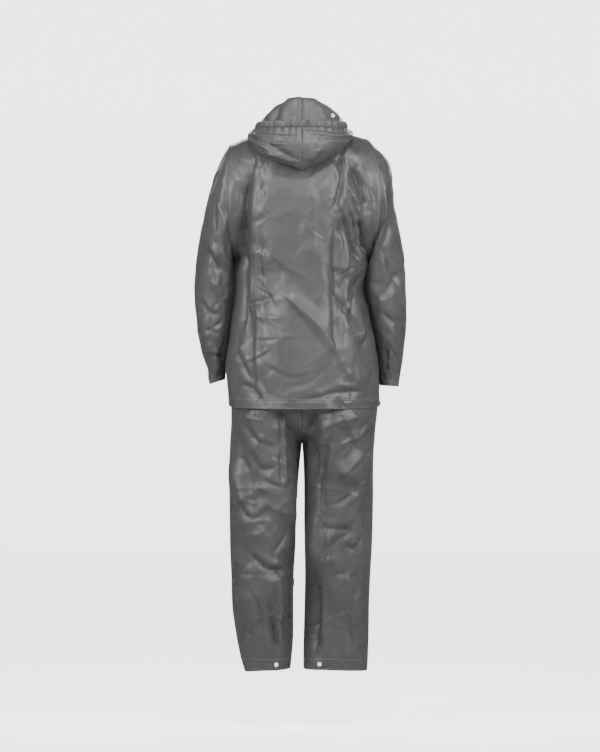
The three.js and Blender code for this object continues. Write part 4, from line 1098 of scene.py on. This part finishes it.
def sewn_seams():
    levels = np.linspace(0, 3, 241)
    for side, word in SIDES:
        edge = body_point(side + 0 * levels, levels, BACK)
        seam_ridge(f"side_seam_{word}", edge[levels <= 1])
        turns = np.linspace(-90, 270, 181)
        hole = [armhole(side, BACK if a <= 90 else FRONT, a if a <= 90 else 180 - a) for a in turns]
        seam_ridge(f"armhole_seam_{word}", hole, RIDGE["armhole"])
        shares = side * np.linspace(NECK_SHARE, 1, 40)
        seam_ridge(f"shoulder_seam_{word}", top_edge(shares, BACK))
        rows = LEFT_LEG if side == LEFT else RIGHT_LEG
        places = np.linspace(1, len(rows) - 1, 241)
        seam_ridge(f"leg_side_seam_{word}", leg_point(rows, places, 1 + 0 * places, BACK))
        below = places[places >= CROTCH_ROW]
        seam_ridge(f"leg_inside_seam_{word}", leg_point(rows, below, 0 * below, BACK))
    above = np.linspace(1, CROTCH_ROW, 90)
    for face, word in ((BACK, "seat_seam"), (FRONT, "rise_seam")):
        line = leg_point(RIGHT_LEG, above, 0 * above, face)
        line[:, 0] = 0
        seam_ridge(word, line, RIDGE["seat"])
    middle = hood_point(np.array([SEAM_ANGLE]), np.linspace(0.03, 1, 160))[:, 0]
    middle[:, 0] = 0
    seam_ridge("hood_seam", middle, RIDGE["hood"], "hood_cloth")


def sampled(grid, rows, columns):
    """A grid's values at fractional rows and columns."""
    i = np.clip(rows.astype(int), 0, grid.shape[0] - 2)
    j = np.clip(columns.astype(int), 0, grid.shape[1] - 2)
    a, b = (rows - i)[:, None], (columns - j)[:, None]
    return mix(mix(grid[i, j], grid[i, j + 1], b), mix(grid[i + 1, j], grid[i + 1, j + 1], b), a)


def stitch_run(name, start, end):
    """Middles, directions and outward normals of a piece's stitches between two (row, column) shares."""
    outer, normals = surfaces[name]
    t = np.linspace(0, 1, STITCH["steps"])
    rows = mix(start[0], end[0], t) * (outer.shape[0] - 1)
    columns = mix(start[1], end[1], t) * (outer.shape[1] - 1)
    line = sampled(outer, rows, columns)
    facing = sampled(normals, rows, columns)
    length = np.concatenate([[0], np.cumsum(np.linalg.norm(np.diff(line, axis=0), axis=1))])
    places = np.arange(STITCH["pitch"], length[-1] - STITCH["pitch"], STITCH["pitch"])

    def along(values, at):
        return np.stack([np.interp(at, length, values[:, k]) for k in range(3)], axis=1)

    middle = along(line, places)
    return middle, along(line, places + 1) - middle, along(facing, places)


def repeated_mesh(name, corners, shape, material, smooth=True):
    """One mesh of many copies of a small shape, given each corner's places in all of them."""
    points = np.stack(corners, axis=1)
    copies = np.arange(len(points))[:, None, None] * len(corners)
    faces = (copies + np.array(shape)).reshape(-1, 4)
    dress(mesh_object(name, points.reshape(-1, 3), faces, smooth), material)


def stitches(name, runs):
    """Short straight threads, each lying on the cloth."""
    parts = [stitch_run(*run) for run in runs]
    middle, along, normal = (np.vstack([part[k] for part in parts]) for k in range(3))
    along, normal = unit(along), unit(normal)
    across = unit(np.cross(along, normal))
    middle = middle + normal * STITCH["radius"] * 0.6
    corners = []
    for end, radius in ((-1, STITCH["end"]), (0, 1), (1, STITCH["end"])):
        for angle in np.arange(4) * np.pi / 2:
            ring = np.cos(angle) * across + np.sin(angle) * normal
            dip = (1 - radius) * STITCH["radius"] * normal
            place = middle + end * STITCH["length"] / 2 * along
            corners.append(place + ring * STITCH["radius"] * radius - dip)
    turns = ((0, 1), (1, 2), (2, 3), (3, 0))
    shape = [[ring + a, ring + b, ring + 4 + b, ring + 4 + a] for ring in (0, 4) for a, b in turns]
    repeated_mesh(name, corners, shape + [[3, 2, 1, 0], [8, 9, 10, 11]], "thread")


def rows_of_stitches(names, rows, start=0.01, end=0.99):
    return [(name, (row, start), (row, end)) for name in names for row in rows]


def lines_of_stitches(names, columns, start, end):
    return [(name, (start, column), (end, column)) for name in names for column in columns]


def sewn_lines():
    fronts = ["front_left", "front_right"]
    runs = rows_of_stitches(["back"], (0.05, 0.004)) + rows_of_stitches(fronts, (0.05,), 0.02, 0.98)
    runs += lines_of_stitches(["back"], (0.012, 0.988), 0.56, 0.985)
    runs += rows_of_stitches(["back"], (0.985,), 0.02, 0.98)
    runs += lines_of_stitches(fronts[:1], (0.95, 0.985), 0.03, 0.96)
    runs += lines_of_stitches(fronts[1:], (0.05, 0.015), 0.03, 0.96)
    runs += rows_of_stitches(["sleeve_left", "sleeve_right"], (0.965, 0.99), 0, 1)
    stitches("jacket_stitching", runs)

    legs = ["leg_back_left", "leg_back_right", "leg_front_left", "leg_front_right"]
    runs = rows_of_stitches(legs, (0.969, 0.995))
    runs += lines_of_stitches(legs, (0.985,), 0.06, 0.965) + lines_of_stitches(legs, (0.02,), 0.06, 0.33)
    stitches("trouser_stitching", runs)

    hoods = ["hood_left", "hood_right"]
    runs = rows_of_stitches(hoods, (0.985,)) + lines_of_stitches(hoods, (0.03,), 0.05, 0.97)
    stitches("hood_stitching", runs)


def zip_teeth():
    """Interlocked teeth down the middle of the front, one side after the other."""
    heights = np.arange(ZIP["top"], ZIP["bottom"], -ZIP["pitch"])
    levels = np.linspace(0, 3, 400)
    front = body_point(0 * levels, levels, FRONT)
    depth = np.interp(heights, front[:, 2], front[:, 1]) - ZIP["behind"]
    side = np.where(np.arange(len(heights)) % 2 == 0, -1, 1)
    middle = xyz(side * ZIP["offset"], depth, heights)
    corners = []
    for up in (-1, 1):
        for across, out in ((-1, -1), (1, -1), (1, 1), (-1, 1)):
            lean = ZIP["taper"] if out > 0 else 1
            step = (across * ZIP["width"] / 2 * lean, out * ZIP["depth"] / 2, up * ZIP["height"] / 2 * lean)
            corners.append(middle + np.array(step))
    shape = [[0, 3, 2, 1], [4, 5, 6, 7], [0, 1, 5, 4], [1, 2, 6, 5], [2, 3, 7, 6], [3, 0, 4, 7]]
    repeated_mesh("zip_teeth", corners, shape, "zip_tape", smooth=False)


# The whole suit

jacket_panel("back", BACK, (-1, 1), BACK_CREASES, 3)
jacket_panel("front_left", FRONT, (-1, -ZIP_EDGE), FRONT_CREASES, 5)
jacket_panel("front_right", FRONT, (ZIP_EDGE, 1), FRONT_CREASES, 7)
sleeve_piece("sleeve_left", LEFT_SLEEVE, 13)
sleeve_piece("sleeve_right", RIGHT_SLEEVE, 17)
collar_piece()
hood_half("hood_left", LEFT, 23)
hood_half("hood_right", RIGHT, 29)
hood_channel()
leg_piece("leg_back_left", LEFT_LEG, BACK, TROUSER_BACK_CREASES, 31)
leg_piece("leg_back_right", RIGHT_LEG, BACK, TROUSER_BACK_CREASES, 37)
leg_piece("leg_front_left", LEFT_LEG, FRONT, TROUSER_FRONT_CREASES, 41)
leg_piece("leg_front_right", RIGHT_LEG, FRONT, TROUSER_FRONT_CREASES, 43)
waistband()
sewn_seams()
sewn_lines()
zip_teeth()

# Hardware kept from the frame

for material, kept in HARDWARE.items():
    for node in kept:
        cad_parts[node].material_slots[0].material = materials[material]

# Stage, light and camera


def backdrop():
    """A round studio: pale floor that curves up into a softly lit wall, the same from every side."""
    turns = np.linspace(0, math.pi / 2, STUDIO["steps"])
    floor, bend, around = STUDIO["floor"], STUDIO["curve"], STUDIO["segments"]
    curve = [(floor + bend * math.sin(a), bend * (1 - math.cos(a))) for a in turns]
    profile = [(0.0, 0.0), (STUDIO["middle"], 0.0)] + curve + [(floor + bend, STUDIO["height"])]
    points = [
        (r * math.cos(a) / MM, r * math.sin(a) / MM, (FLOOR_Z + z) / MM)
        for a in np.arange(around) / around * 2 * math.pi
        for r, z in profile
    ]
    index = np.arange(len(points)).reshape(around, -1)
    obj = mesh_object("backdrop", points, grid_quads(np.vstack([index, index[:1]]))[:, ::-1])
    obj.visible_glossy = False
    material = bpy.data.materials.new("backdrop")
    material.use_nodes = True
    shader = material.node_tree.nodes["Principled BSDF"]
    grey, white = (0.8, 0.8, 0.8, 1), (1, 1, 1, 1)
    fit(material, shader, {"Base Color": grey, "Roughness": 0.9, "Emission Color": white}, {})
    fit(material, shader, {"Emission Strength": STUDIO["glow"]}, {})
    obj.data.materials.append(material)


backdrop()
for name, (place, target, size, power) in LIGHTS.items():
    light = bpy.data.lights.new(name, "AREA")
    light.shape = "RECTANGLE"
    light.size, light.size_y = size
    light.energy = power
    light.spread = math.radians(LIGHT_SPREAD)
    obj = bpy.data.objects.new(name, light)
    obj.location = place
    obj.rotation_euler = (Vector(target) - Vector(place)).to_track_quat("-Z", "Y").to_euler()
    bpy.context.collection.objects.link(obj)

world = bpy.data.worlds.new("studio")
world.use_nodes = True
world.node_tree.nodes["Background"].inputs["Color"].default_value = (1, 1, 1, 1)
world.node_tree.nodes["Background"].inputs["Strength"].default_value = WORLD_STRENGTH
bpy.context.scene.world = world

camera = bpy.data.cameras.new("camera")
camera.sensor_width = CAMERA["sensor"]
camera.lens = CAMERA["sensor"] * CAMERA["distance"] / CAMERA["view_height"]
camera_object = bpy.data.objects.new("camera", camera)
camera_object.location = (CAMERA["x"], -CAMERA["distance"], CAMERA["z"])
camera_object.rotation_euler = (math.pi / 2, 0, 0)
bpy.context.collection.objects.link(camera_object)
bpy.context.scene.camera = camera_object
